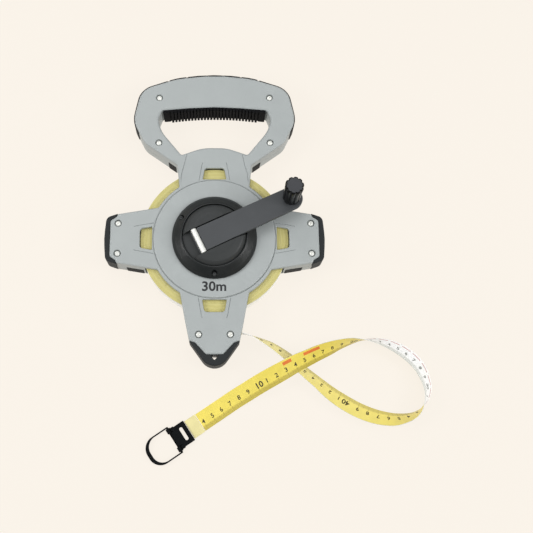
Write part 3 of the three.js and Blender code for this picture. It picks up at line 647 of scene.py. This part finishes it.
def rear_shell():
    """The rear shell, with the reel's axle post standing on it."""
    high = MID - PARTING
    shell = plate(
        "rear", 0, high, edge(frame_outline(), 1.7, 0.3), hole(HANDLE_OPENING, 2.2, 0.3), *windows(0.7, 0))
    combine(shell, cavity(PLATE, high + 1))
    combine(shell, plate("round_groove", -1, 0.4, edge(disc_edge(0)), hole(disc_edge(-1))))
    common_cuts(shell)
    post = [
        (0, 2, 0), (POST_R, 2, 0), (POST_R, POST_TOP, 0.6), (POST_BORE_R, POST_TOP, 0.3),
        (POST_BORE_R, POST_BORE_LOW, 0), (0, POST_BORE_LOW, 0)]
    combine(shell, lathe("post", post, 48), "UNION")
    finished(shell, "rear_shell_body", GREY, "frame", ["rear_shell"])


# ---- trim on the frame
def bumpers():
    """Rubber caps over the ends of both side arms and the bottom arm."""
    for name, degrees in (("bumper_left", -90), ("bumper_right", 90)):
        cap = plate(name, 1, DEPTH - 1, edge(SIDE_BUMPER, 1.6, 1.6))
        combine(cap, plate("arm", 0, DEPTH, edge(SIDE_ARM_CLOSED, inset=-0.3)))
        finished(moved(cap, degrees=degrees), name + "_cap", RUBBER, "frame", [name])
    tip = plate("tip", 1, DEPTH - 1, edge(TIP_BUMPER, 1.6, 1.6))
    combine(tip, plate("arm", 0, DEPTH, edge(BOTTOM_ARM_CLOSED, inset=-0.3)))
    combine(tip, plate("hole", 0, DEPTH, edge(TIP_HOLE)))
    finished(tip, "bumper_tip_cap", RUBBER, "frame", ["bumper_tip"])


def notch(x):
    """A cutter for one notch across the strap's outer face."""
    cutter = box(-1.1, 1.1, 0, 4, STRAP_LOW - 1, STRAP_HIGH + 1)
    return moved(cutter, x, STRAP_CROWN - STRAP_FALL * x * x, 0, math.degrees(math.atan(-2 * STRAP_FALL * x)))


def strap():
    """The notched strap along the handle's outer edge."""
    band = strap_ring("strap", STRAP_LOW, STRAP_HIGH, STRAP_OUT, STRAP_IN, 0.5)
    for x in STRAP_NOTCHES:
        combine(band, notch(x))
    finished(band, "handle_strap_band", STRAP_BLACK, "frame", ["handle_strap"])


def pads():
    """Soft pads in the walls' seats."""
    for name, length, top, x, y, turn in PADS:
        half = length / 2
        pad = plate(name, PAD_LOW, top, edge(rectangle(-half, half, -PAD_DEEP, PAD_PROUD, 0.4), 0.4, 0.4))
        finished(moved(pad, x, y, 0, turn), name + "_rubber", STRAP_BLACK, "frame", [name])


GRIP_HALF, GRIP_TEETH, GRIP_PITCH = 51.8, 27, 3.3
GRIP_SHOULDER = 45.6  # where the plain ends begin
BAR_LOW, BAR_FALL = 139.0, 4.3  # the bar's underside at its middle, and its fall at the grip's ends
TOOTH = [(-1.35, -1.7, 0.3), (-1.05, -4.1, 0.5), (1.05, -4.1, 0.5), (1.35, -1.7, 0.3)]


def under_bar(x):
    """The underside of the handle's bar."""
    return BAR_LOW - (x / GRIP_HALF) ** 2 * BAR_FALL


def grip():
    """The finger grip's ribs, which run from front to back under the handle's bar."""
    end = [(GRIP_HALF, under_bar(GRIP_HALF) - 2.2, 0.6), (GRIP_SHOULDER, under_bar(GRIP_SHOULDER) - 2.6, 0.6)]
    teeth = []
    for i in range(GRIP_TEETH):
        x = (i - (GRIP_TEETH - 1) / 2) * GRIP_PITCH
        teeth += [(x + dx, under_bar(x) + dy, r) for dx, dy, r in TOOTH]
    seated = [GRIP_HALF * (1 - i / 10) for i in range(21)]
    corners = [(-x, y, r) for x, y, r in end] + teeth + end[::-1]
    corners += [(x, under_bar(x) + 1.7, 0) for x in seated]
    piece = plate("grip", 1.6, DEPTH - 1.6, edge(corners, 0.3, 0.3), step=30)
    finished(piece, "handle_grip_ribs", GRIP_BLACK, "frame", ["handle_grip"])


# Pan-head screws: radius, top and underside of the head, radius of the shank, height of the tip.
FRAME_SCREW = (2.65, DEPTH - 0.5, DEPTH - 2.3, 1.5, 5)
RING_SCREW = (2.35, 33, 31.3, 1.3, 22.6)
RING_SCREWS = [(x, y) for x, y, _ in turned_outline(arc(36.8, 0, 240, 120), 30)]


def screw_mesh(head_r, high, low, shank_r, tip):
    """A screw with a cross recess, standing on the origin's axis."""
    dome = high - low
    profile = [
        (0, tip, 0), (shank_r * 0.6, tip, 0), (shank_r, tip + 1, 0), (shank_r, low, 0), (head_r, low, 0.15),
        (head_r, low + dome * 0.45, 0.5), (head_r * 0.6, high, 1.2), (0, high, 0)]
    reach, half = head_r * 0.5, head_r * 0.11
    cross = []
    for degrees in (0, 90, 180, 270):
        cross += turned_outline([(reach, -half, 0), (reach, half, 0), (half, half, 0)], degrees)
    return combine(lathe("screw", profile, 32, 22), plate("cross", high - dome * 0.4, high + 1, edge(cross)))


def screws():
    """All the screws, each turned to an angle of its own."""
    for i, (x, y) in enumerate(FRAME_SCREWS):
        screw = moved(screw_mesh(*FRAME_SCREW), x, y, 0, 17 + 37 * i)
        node = f"frame_screw_{i + 1:02d}"
        finished(screw, node + "_cross_head", STEEL_PAINTED_HIGHLIGHT, "frame", [node])
    for i, (x, y) in enumerate(RING_SCREWS):
        screw = moved(screw_mesh(*RING_SCREW), x, y, 0, 20 + 50 * i)
        node = f"ring_screw_{i + 1}"
        finished(screw, node + "_cross_head", RING_SCREW_BLACK, "frame", [node])


# ---- hub and crank
RING_SEAT, RING_SEAT_R, RING_BORE_R = 31, 2.75, 1.6


def bearing_ring():
    """The black cone that holds the dish down, with a flat seat and a bore for each screw."""
    profile = [
        (33.3, 27.8, 0.2), (41, 27.8, 0.3), (41, 29.8, 1.6), (38.4, 32.9, 3), (33.2, 37.4, 2.5),
        (31.9, 38.4, 0.7), (30.7, 38.4, 0.5), (30.7, 29.9, 0.1), (33.3, 29.9, 0)]
    ring = lathe("ring", profile, 120, 12)
    for x, y in RING_SCREWS:
        combine(ring, moved(cylinder(RING_SEAT_R, RING_SEAT, 40), x, y))
        combine(ring, moved(cylinder(RING_BORE_R, 20, RING_SEAT + 1), x, y))
    finished(ring, "bearing_ring_cone", BLACK, "frame", ["bearing_ring"])


def on_crank(obj):
    """Takes a piece from the crank's own axes (X along it, from the hinge pin) to its place."""
    return moved(moved(obj, PIN_OFFSET), degrees=CRANK_ANGLE)


PIN_PLAY = 0.3  # round the hinge pin in its bores


def crank_dish():
    """The domed dish in the ring, with the channel for the crank across it."""
    profile = [
        (0, 20.3, 0), (19.6, 20.3, 0.4), (19.6, 26.9, 0), (32.8, 26.9, 0.3), (32.8, 29.6, 0.3),
        (30.2, 29.6, 0), (30.2, 37.4, 0.5), (27.5, 41.2, 5), (20.5, 43.4, 12), (0, 43.4, 0)]
    dish = lathe("dish", profile, 120, 8)
    channel = plate("channel", CHANNEL_FLOOR, 60, edge(rectangle(-40, 40, -CHANNEL_HALF, CHANNEL_HALF)))
    combine(dish, moved(channel, degrees=CRANK_ANGLE))
    combine(dish, on_crank(lying(cylinder(PIN_END_R + PIN_PLAY, -15, 15), PIN_Z)))
    finished(dish, "crank_dish_dome", DISH_GREY, "reel", ["crank_dish"])


ARM_START, KNOB_X = 3.1, KNOB_OFFSET - PIN_OFFSET
ROOT_END, ROOT_HALF = 27.4 - PIN_OFFSET, 11.7
KNUCKLE_R, KNUCKLE_HALF = 3.9, 11.8
SPINDLE_BORE_R, RIVET_R, RIVET_DEEP = 2.8, 5.3, 1.9


def crank_arm():
    """A flat bar with a round end, a deeper root that lies in the channel, and the hinge's knuckle."""
    end, half = KNOB_X + ARM_END_HALF, ARM_END_HALF
    bar = [(ARM_START, -ARM_HALF, 0.4), (end, -half, half), (end, half, half), (ARM_START, ARM_HALF, 0.4)]
    arm = plate("arm", ARM_LOW, ARM_TOP, edge(bar, 0.5, 0.8))
    root = rectangle(ARM_START, ROOT_END, -ROOT_HALF, ROOT_HALF, 1.0)
    combine(arm, plate("root", ARM_ROOT_LOW, ARM_LOW + 1, edge(root, 0.4, 0)), "UNION")
    knuckle = lying(cylinder(KNUCKLE_R, -KNUCKLE_HALF, KNUCKLE_HALF, 48, 0.4), PIN_Z)
    combine(knuckle, box(-9, 9, -20, 20, PIN_Z - 0.4, PIN_Z + 9))
    combine(arm, knuckle, "UNION")
    combine(arm, lying(cylinder(PIN_R + PIN_PLAY, -20, 20, 48), PIN_Z))
    combine(arm, moved(cylinder(SPINDLE_BORE_R, 30, 50), KNOB_X))
    combine(arm, moved(cylinder(RIVET_R, 30, ARM_LOW + RIVET_DEEP, 40), KNOB_X))
    finished(on_crank(arm), "crank_arm_bar", ARM_GREY, "crank", ["crank_arm"])


def hinge_pin():
    """The stepped pin: its thin ends sit in the dish's walls."""
    half = [(0, -PIN_END, 0), (PIN_END_R, -PIN_END, 0.3), (PIN_END_R, -PIN_HALF, 0), (PIN_R, -PIN_HALF, 0.3)]
    pin = lying(lathe("pin", mirrored_up(half), 48), PIN_Z)
    finished(on_crank(pin), "hinge_pin_rod", STEEL_PAINTED_HIGHLIGHT, "reel", ["hinge_pin"])


FLUTES = 10
FLUTE_DEPTH, FLUTE_POINTS = 1.05, 16
KNOB_PROFILE = [  # (height, radius, depth of the flutes as a share)
    (43.5, 7.0, 0.0), (43.9, 7.6, 0.3), (46.5, 8.5, 0.9), (50, 8.6, 1), (62, 8.4, 1), (70, 8.7, 1),
    (74, 8.9, 1), (77.4, 8.9, 1), (78.4, 8.65, 1), (79.1, 8.1, 0.9), (79.45, 7.3, 0.8)]
KNOB_BORE = [
    (0, 40, 0), (2.9, 40, 0), (2.9, 57.7, 0), (3.9, 57.7, 0), (3.9, 62.5, 0), (2.9, 62.5, 0), (2.9, 71, 0),
    (0, 71, 0)]


def knob():
    """The fluted winding knob: rounded lobes with narrow grooves between them."""
    bm = bmesh.new()
    sides = FLUTES * FLUTE_POINTS
    rings = []
    for z, radius, depth in KNOB_PROFILE:
        ring = []
        for i in range(sides):
            a = 2 * math.pi * i / sides
            groove = abs(math.cos(a * FLUTES / 2)) ** 7
            r = radius - FLUTE_DEPTH * depth * groove
            ring.append(bm.verts.new((r * math.cos(a), r * math.sin(a), z)))
        rings.append(ring)
    stack(bm, rings)
    inner = [bm.verts.new((v.co.x * 0.93, v.co.y * 0.93, KNOB_TOP - 0.02)) for v in rings[-1]]
    bridge(bm, rings[-1], inner)
    bm.faces.new(inner)
    bm.faces.new(rings[0][::-1])
    piece = new_object("knob", bm)
    combine(piece, lathe("bore", KNOB_BORE, 32))
    moved(piece, KNOB_X)
    finished(on_crank(piece), "knob_fluted", KNOB_BLACK, "knob", ["knob"], sharp=50)
    piece.data.materials.append(KNOB_TOP_GREY)
    for face in piece.data.polygons:
        if face.center.z > (KNOB_TOP - 0.1) * MM:
            face.material_index = 1


# ---- reel
TURNS, UNEVEN, COIL_SIDES = 90, 0.16, 144  # UNEVEN: how far the turns' edges rise and fall, in mm


def wound_tape():
    """The wound tape: its turns' edges are uneven, and its last turn shows the printed white face."""
    radii = [COIL_INNER_R + (COIL_R - COIL_INNER_R) * i / TURNS for i in range(TURNS + 1)]
    rise = [UNEVEN * (math.sin(2.3 * i) * math.sin(0.37 * i + 1) - 1) for i in range(TURNS + 1)]
    upper = [(r, COIL_HIGH + z) for r, z in zip(radii, rise)]
    lower = [(r, COIL_LOW - z) for r, z in zip(radii, rise)]
    coil = new_object("coil", spun(lower + upper[::-1], COIL_SIDES))
    where = coil.data.attributes.new("tape", "FLOAT_VECTOR", "POINT")
    for i, vertex in enumerate(coil.data.vertices):
        a = math.atan2(vertex.co.y, vertex.co.x)
        where.data[i].vector = (a * COIL_R + 400, vertex.co.z / MM - COIL_LOW, 0)
    finished(coil, "tape_coil_wound", WOUND, "reel", ["tape_coil"], sharp=60)
    coil.data.materials.append(WHITE_FACE)
    for face in coil.data.polygons:
        if abs(face.normal.z) < 0.5 and math.hypot(face.center.x, face.center.y) > (COIL_R - 1) * MM:
            face.material_index = 1


def inner_materials():
    """The CAD's own inner pieces keep their shapes."""
    looks = {"drum_core": WHITE, "axle_bush": WHITE, "tape_inner_run": WOUND}
    for node in ("axle_washer", "axle_screw", "knob_spindle", "drum_screw_1", "drum_screw_2", "drum_screw_3"):
        looks[node] = STEEL_PAINTED_HIGHLIGHT
    for node, material in looks.items():
        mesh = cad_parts[node].data
        mesh.materials.clear()
        mesh.materials.append(material)


# ---- free tape
class Route:
    """A smooth strip through the route's points: a cubic by chord length, as in the CAD."""

    def __init__(self, points):
        self.points = points
        self.at = [0.0]
        for a, b in zip(points, points[1:]):
            self.at.append(self.at[-1] + math.hypot(b[0] - a[0], b[1] - a[1]))
        self.length = self.at[-1]

    def slope(self, i, k):
        a, b = max(i - 1, 0), min(i + 1, len(self.points) - 1)
        return (self.points[b][k] - self.points[a][k]) / (self.at[b] - self.at[a])

    def sample(self, s):
        i = 0
        while i < len(self.points) - 2 and s > self.at[i + 1]:
            i += 1
        h = self.at[i + 1] - self.at[i]
        t = (s - self.at[i]) / h
        return [
            self.points[i][k] * (2 * t**3 - 3 * t**2 + 1) + self.points[i + 1][k] * (3 * t**2 - 2 * t**3)
            + h * self.slope(i, k) * (t**3 - 2 * t**2 + t) + h * self.slope(i + 1, k) * (t**3 - t**2)
            for k in range(4)]

    def axes(self, s):
        """The strip's middle, the direction across it and its yellow face's normal."""
        x, y, lift, degrees = self.sample(s)
        ahead, behind = self.sample(min(s + 0.5, self.length)), self.sample(max(s - 0.5, 0))
        along = Vector((ahead[0] - behind[0], ahead[1] - behind[1])).normalized()
        lean = math.radians(degrees)
        across = Vector((along.y * math.sin(lean), -along.x * math.sin(lean), math.cos(lean)))
        face = Vector((-along.y * math.cos(lean), along.x * math.cos(lean), math.sin(lean)))
        rise = max(lift, 0) + TAPE_WIDTH / 2 * abs(math.cos(lean)) + TAPE_THICK / 2 * abs(math.sin(lean))
        return Vector((x, y, rise)), across, face

    def point(self, s, w, f):
        middle, across, face = self.axes(s)
        return middle + across * w + face * f


ROUTE = Route(TAPE_ROUTE)
ZERO = ROUTE.length + 37.0  # where the printed scale's zero would be, measured from the exit
LOOP_FROM, LOOP_TO, LOOP_SLACK = 165.0, 309.0, 13.0  # the loop takes up more tape than its plan view


def reading(s):
    """What the printed scale reads, in mm, at a distance from the exit."""
    return ZERO - s + LOOP_SLACK * min(max((LOOP_TO - s) / (LOOP_TO - LOOP_FROM), 0), 1)


def place_of(mm):
    """The distance from the exit at which the scale reads that many mm."""
    low, high = -60.0, ROUTE.length + 60
    for _ in range(30):
        middle = (low + high) / 2
        low, high = (middle, high) if reading(middle) > mm else (low, middle)
    return low


def free_tape():
    """The strip along its route, yellow on one face and white on the other."""
    bm = bmesh.new()
    count = round(ROUTE.length / 1.5)
    half, thick = TAPE_WIDTH / 2, TAPE_THICK / 2
    spans = [[-half + TAPE_WIDTH * k / 4 for k in range(5)], [half - TAPE_WIDTH * k / 4 for k in range(5)]]
    section = [(w, -thick) for w in spans[0]] + [(w, thick) for w in spans[1]]
    rings, marks = [], []
    for i in range(count + 1):
        s = ROUTE.length * i / count
        rings.append([bm.verts.new(ROUTE.point(s, w, f)) for w, f in section])
        marks += [(reading(s), w + half, 0) for w, f in section]
    stack(bm, rings)
    for ring in (rings[0], rings[-1]):
        for k in range(4):
            bm.faces.new((ring[k], ring[k + 1], ring[8 - k], ring[9 - k]))
    tape = new_object("tape", bm)
    where = tape.data.attributes.new("tape", "FLOAT_VECTOR", "POINT")
    where.data.foreach_set("vector", [c for mark in marks for c in mark])
    finished(tape, "tape_strip_printed", YELLOW_FACE, "frame", ["tape_strip"], sharp=60)
    tape.data.materials.append(WHITE_FACE)
    for face in tape.data.polygons:
        s = place_of(sum(marks[v][0] for v in face.vertices) / len(face.vertices))
        if face.normal.dot(ROUTE.axes(min(max(s, 0), ROUTE.length))[2]) < 0.3:
            face.material_index = 1
    return tape


def glyphs(text, height):
    """Points and faces of a flat text, centred on the origin, with capitals of that height in mm."""
    curve = bpy.data.curves.new("text", "FONT")
    curve.body = text
    curve.size = height / 0.7
    curve.resolution_u = 3
    curve.offset = height * 0.035
    obj = linked("text", curve)
    bpy.context.view_layer.update()
    mesh = bpy.data.meshes.new_from_object(obj.evaluated_get(bpy.context.evaluated_depsgraph_get()))
    points = [v.co.copy() for v in mesh.vertices]
    faces = [tuple(p.vertices) for p in mesh.polygons]
    bpy.data.objects.remove(obj)
    bpy.data.meshes.remove(mesh)
    low = Vector((min(p.x for p in points), min(p.y for p in points)))
    high = Vector((max(p.x for p in points), max(p.y for p in points)))
    return [Vector((p.x, p.y)) - (low + high) / 2 for p in points], faces


INK_LIFT = 0.04  # printed ink stands this far off its face, in mm


def printed(name, corners, faces, material):
    """A thin printed layer on the frame, from corners in metres."""
    mesh = bpy.data.meshes.new(name)
    mesh.from_pydata(corners, [], faces)
    mesh.validate()
    mesh.materials.append(material)
    obj = linked(name, mesh)
    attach(obj, "frame")


def print_on_tape(name, marks, material, side):
    """Printing that follows the tape: each mark is (distance, across, points, faces)."""
    corners, outlines = [], []
    for s0, w0, points, faces in marks:
        first = len(corners)
        for p in points:
            s = min(max(s0 - p.x, 0), ROUTE.length)
            corners.append(ROUTE.point(s, w0 + side * p.y, side * (TAPE_THICK / 2 + INK_LIFT)) * MM)
        outlines += [[first + i for i in face] for face in faces]
    printed(name, corners, outlines, material)


def bar(length, width):
    """A plain printed bar, cut into short quads so that it bends with the tape."""
    count = max(1, round(length / 2))
    places = [length * (i / count - 0.5) for i in range(count + 1)]
    points = [Vector((x, side * width / 2)) for x in places for side in (-1, 1)]
    faces = [(2 * i, 2 * i + 2, 2 * i + 3, 2 * i + 1) for i in range(count)]
    return points, faces


NUMERAL, TENS_NUMERAL = 4.1, 5.4  # heights
YELLOW_ROW, WHITE_ROW = -0.6, 0.4  # the numerals' middle across the tape
WORD_BARS, WORD_ROW = ((373.0, 9.0), (347.5, 17.0)), 5.6  # (distance from the exit, length)
WHITE_WORDS, WHITE_WORD_ROW = range(210, 320, 12), -6.2


def tape_print():
    """Centimetre numerals on both faces, and plain coloured bars in place of words."""
    yellow, white = [], []
    for cm in range(4, int(reading(0) / 10)):
        s = place_of(10 * cm)
        if not 4 < s < ROUTE.length - 2:
            continue
        if cm % 10:
            text, height, shift = str(cm % 10), NUMERAL, 0
        else:
            text, height, shift = str(cm), TENS_NUMERAL, 2.5
        yellow.append((s - shift, YELLOW_ROW, *glyphs(text, height)))
        white.append((s, WHITE_ROW, *glyphs(text, NUMERAL)))
    bars = [(s, WORD_ROW, *bar(length, 3.2)) for s, length in WORD_BARS]
    white_bars = [(place_of(mm), WHITE_WORD_ROW, *bar(8.5, 1.0)) for mm in WHITE_WORDS]
    print_on_tape("tape_numerals_yellow", yellow, BROWN_INK, 1)
    print_on_tape("tape_numerals_white", white, GREY_INK, -1)
    print_on_tape("tape_bars_yellow", bars, RED_INK, 1)
    print_on_tape("tape_bars_white", white_bars, PALE_RED_INK, -1)


def size_mark():
    """The tape's length, printed on the raised disc."""
    points, faces = glyphs("30m", 9.0)
    corners = [Vector((p.x * 1.05 - 0.3, p.y - 47.9, RAISED_TOP + INK_LIFT)) * MM for p in points]
    printed("size_mark", corners, faces, INK)


# ---- hook
def at_hook(obj):
    """Takes a piece from the hook's axes (X towards the tape, from the ring's hinge) to its place."""
    return moved(obj, HOOK.x, HOOK.y, 0, HOOK_ANGLE)


BUCKLE = mirrored_up([(-1.2, -7.4, 0.6), (3.6, -7.4, 0.8), (4.6, -10.6, 0.8), (16.2, -10.6, 0.8)])
BUCKLE_SLOT = rectangle(8.8, 12, -6.6, 6.6, 1.5)
RING_OUTER = mirrored_up([(-28.4, -13.9, 12), (1, -13.9, 0.8)])
RING_INNER = mirrored_up([(-24.8, -12.6, 10.5), (6, -12.6, 0)])
BAND_OUTLINE = rectangle(16.5, 28.3, -9.3, 9.3, 0.5)
EAR_R, EAR_BORE_R, EAR_FROM, EAR_TO = 2.3, 1.3, 7.2, 12.2
STUB_R, STUB_FROM, STUB_TO = 1, 8.6, 13.4


def buckle():
    """The slotted plate, with a round ear on each side for the ring."""
    body = plate("buckle", 0.1, 3.4, edge(BUCKLE, 0.4, 0.7), hole(BUCKLE_SLOT, 0.2, 0.5))
    for side in (-1, 1):
        low, high = sorted((side * EAR_FROM, side * EAR_TO))
        ear = cylinder(EAR_R, low, high, 40, 0.5)
        combine(body, lying(ear, HINGE_Z), "UNION")
        low, high = sorted((side * 7.4, side * 11.4))
        combine(body, plate("lug", 0.3, 3.2, edge(rectangle(0, 5.5, low, high, 0.8), 0.3, 0.5)), "UNION")
    return combine(body, lying(cylinder(EAR_BORE_R, -20, 20, 24), HINGE_Z))


def ring_loop():
    """The square ring: thin sides, a wider flat far end, and two stub pins in the buckle's ears."""
    ring = plate("ring", 1.4, 3.4, edge(RING_OUTER, 0.5, 0.5))
    combine(ring, plate("inside", 0, 5, edge(RING_INNER)))
    for side in (-1, 1):
        low, high = sorted((side * STUB_FROM, side * STUB_TO))
        stub = lathe("stub", [(0, low, 0), (STUB_R, low, 0.2), (STUB_R, high, 0), (0, high, 0)], 24)
        combine(ring, lying(stub, HINGE_Z), "UNION")
    return ring


def hook():
    finished(at_hook(buckle()), "buckle_plate", BLACK_STEEL, "frame", ["buckle"])
    finished(at_hook(ring_loop()), "hook_ring_loop", BLACK_STEEL, "hook_ring", ["hook_ring"])
    band = plate("band", 0.2, 1.6, edge(BAND_OUTLINE, 0.3, 0.3))
    finished(at_hook(band), "end_band_film", BAND, "frame", ["end_band"])


# ---- stage, light and camera
FLOOR_COLOUR = linear(250, 243, 233)
FLOOR_GLOW, FLOOR_ALBEDO = 0.915, 0.08
HORIZON_STRENGTH, ZENITH_STRENGTH = 0.15, 0.68
LIGHTS = [  # name, place in metres, size in metres, watts
    ("key", (-0.25, 0.75, 1.1), 0.8, 3.0),
    ("fill", (0.4, -0.6, 1.3), 1.2, 3.0),
    ("left_strip", (-1.0, -0.1, 0.8), 0.5, 6.0),
    ("right_strip", (1.1, -0.2, 0.8), 0.5, 6.0),
]


def stage():
    """The pale floor. It gives off light itself, so that it looks even all over."""
    n = Nodes("floor", 0.9)
    n.surface("Emission Color", FLOOR_COLOUR)
    n.surface("Emission Strength", FLOOR_GLOW)
    n.surface("Specular IOR Level", 0.0)
    n.colour(toned(FLOOR_COLOUR, FLOOR_ALBEDO))
    floor = plate("floor", -2, -0.02, edge(rectangle(-3000, 3000, -3000, 3000)))
    floor.data.materials.append(n.material)


def surroundings():
    """The studio round the object, brighter overhead than at the horizon."""
    studio = bpy.data.worlds.new("studio")
    studio.use_nodes = True
    tree = studio.node_tree
    direction = tree.nodes.new("ShaderNodeSeparateXYZ")
    strength = tree.nodes.new("ShaderNodeMapRange")
    tree.links.new(tree.nodes.new("ShaderNodeTexCoord").outputs["Generated"], direction.inputs[0])
    tree.links.new(direction.outputs["Z"], strength.inputs["Value"])
    for i, value in enumerate((0.0, 1.0, HORIZON_STRENGTH, ZENITH_STRENGTH)):
        strength.inputs[i + 1].default_value = value
    background = tree.nodes["Background"]
    background.inputs["Color"].default_value = (0.97, 0.985, 1.0, 1)
    tree.links.new(strength.outputs[0], background.inputs["Strength"])
    bpy.context.scene.world = studio
    bpy.context.scene.view_settings.view_transform = "Standard"


def lights():
    """Soft lights at the back, the front and both sides, all above the reel and aimed at it."""
    for name, place, size, power in LIGHTS:
        light = bpy.data.lights.new(name, "AREA")
        light.energy = power
        light.size = size
        obj = linked(name, light)
        obj.location = place
        obj.rotation_euler = (-Vector(place)).to_track_quat("-Z", "Y").to_euler()


CAMERA_AT, CAMERA_TILT = (0, -0.2122, 0.7662), 16
SENSOR, LENS, SHIFT_X, SHIFT_Y = 36, 53.8, 0.0976, -0.0535  # the shifts are shares of the sensor


def camera():
    """From 16 degrees off the vertical, about 0.8 m above the tool."""
    data = bpy.data.cameras.new("camera")
    data.sensor_width = SENSOR
    data.lens = LENS
    data.shift_x = SHIFT_X
    data.shift_y = SHIFT_Y
    obj = linked("camera", data)
    obj.location = CAMERA_AT
    obj.rotation_euler = (math.radians(CAMERA_TILT), 0, 0)
    bpy.context.scene.camera = obj


# ---- the whole object
stage()
surroundings()
lights()
camera()
tape = free_tape()
path = [ROUTE.point(ROUTE.length * i / 240, 0, 0) * MM for i in range(241)]
hook()
tape_print()
front_shell()
rear_shell()
bumpers()
strap()
pads()
grip()
screws()
bearing_ring()
crank_dish()
hinge_pin()
crank_arm()
knob()
wound_tape()
inner_materials()
size_mark()
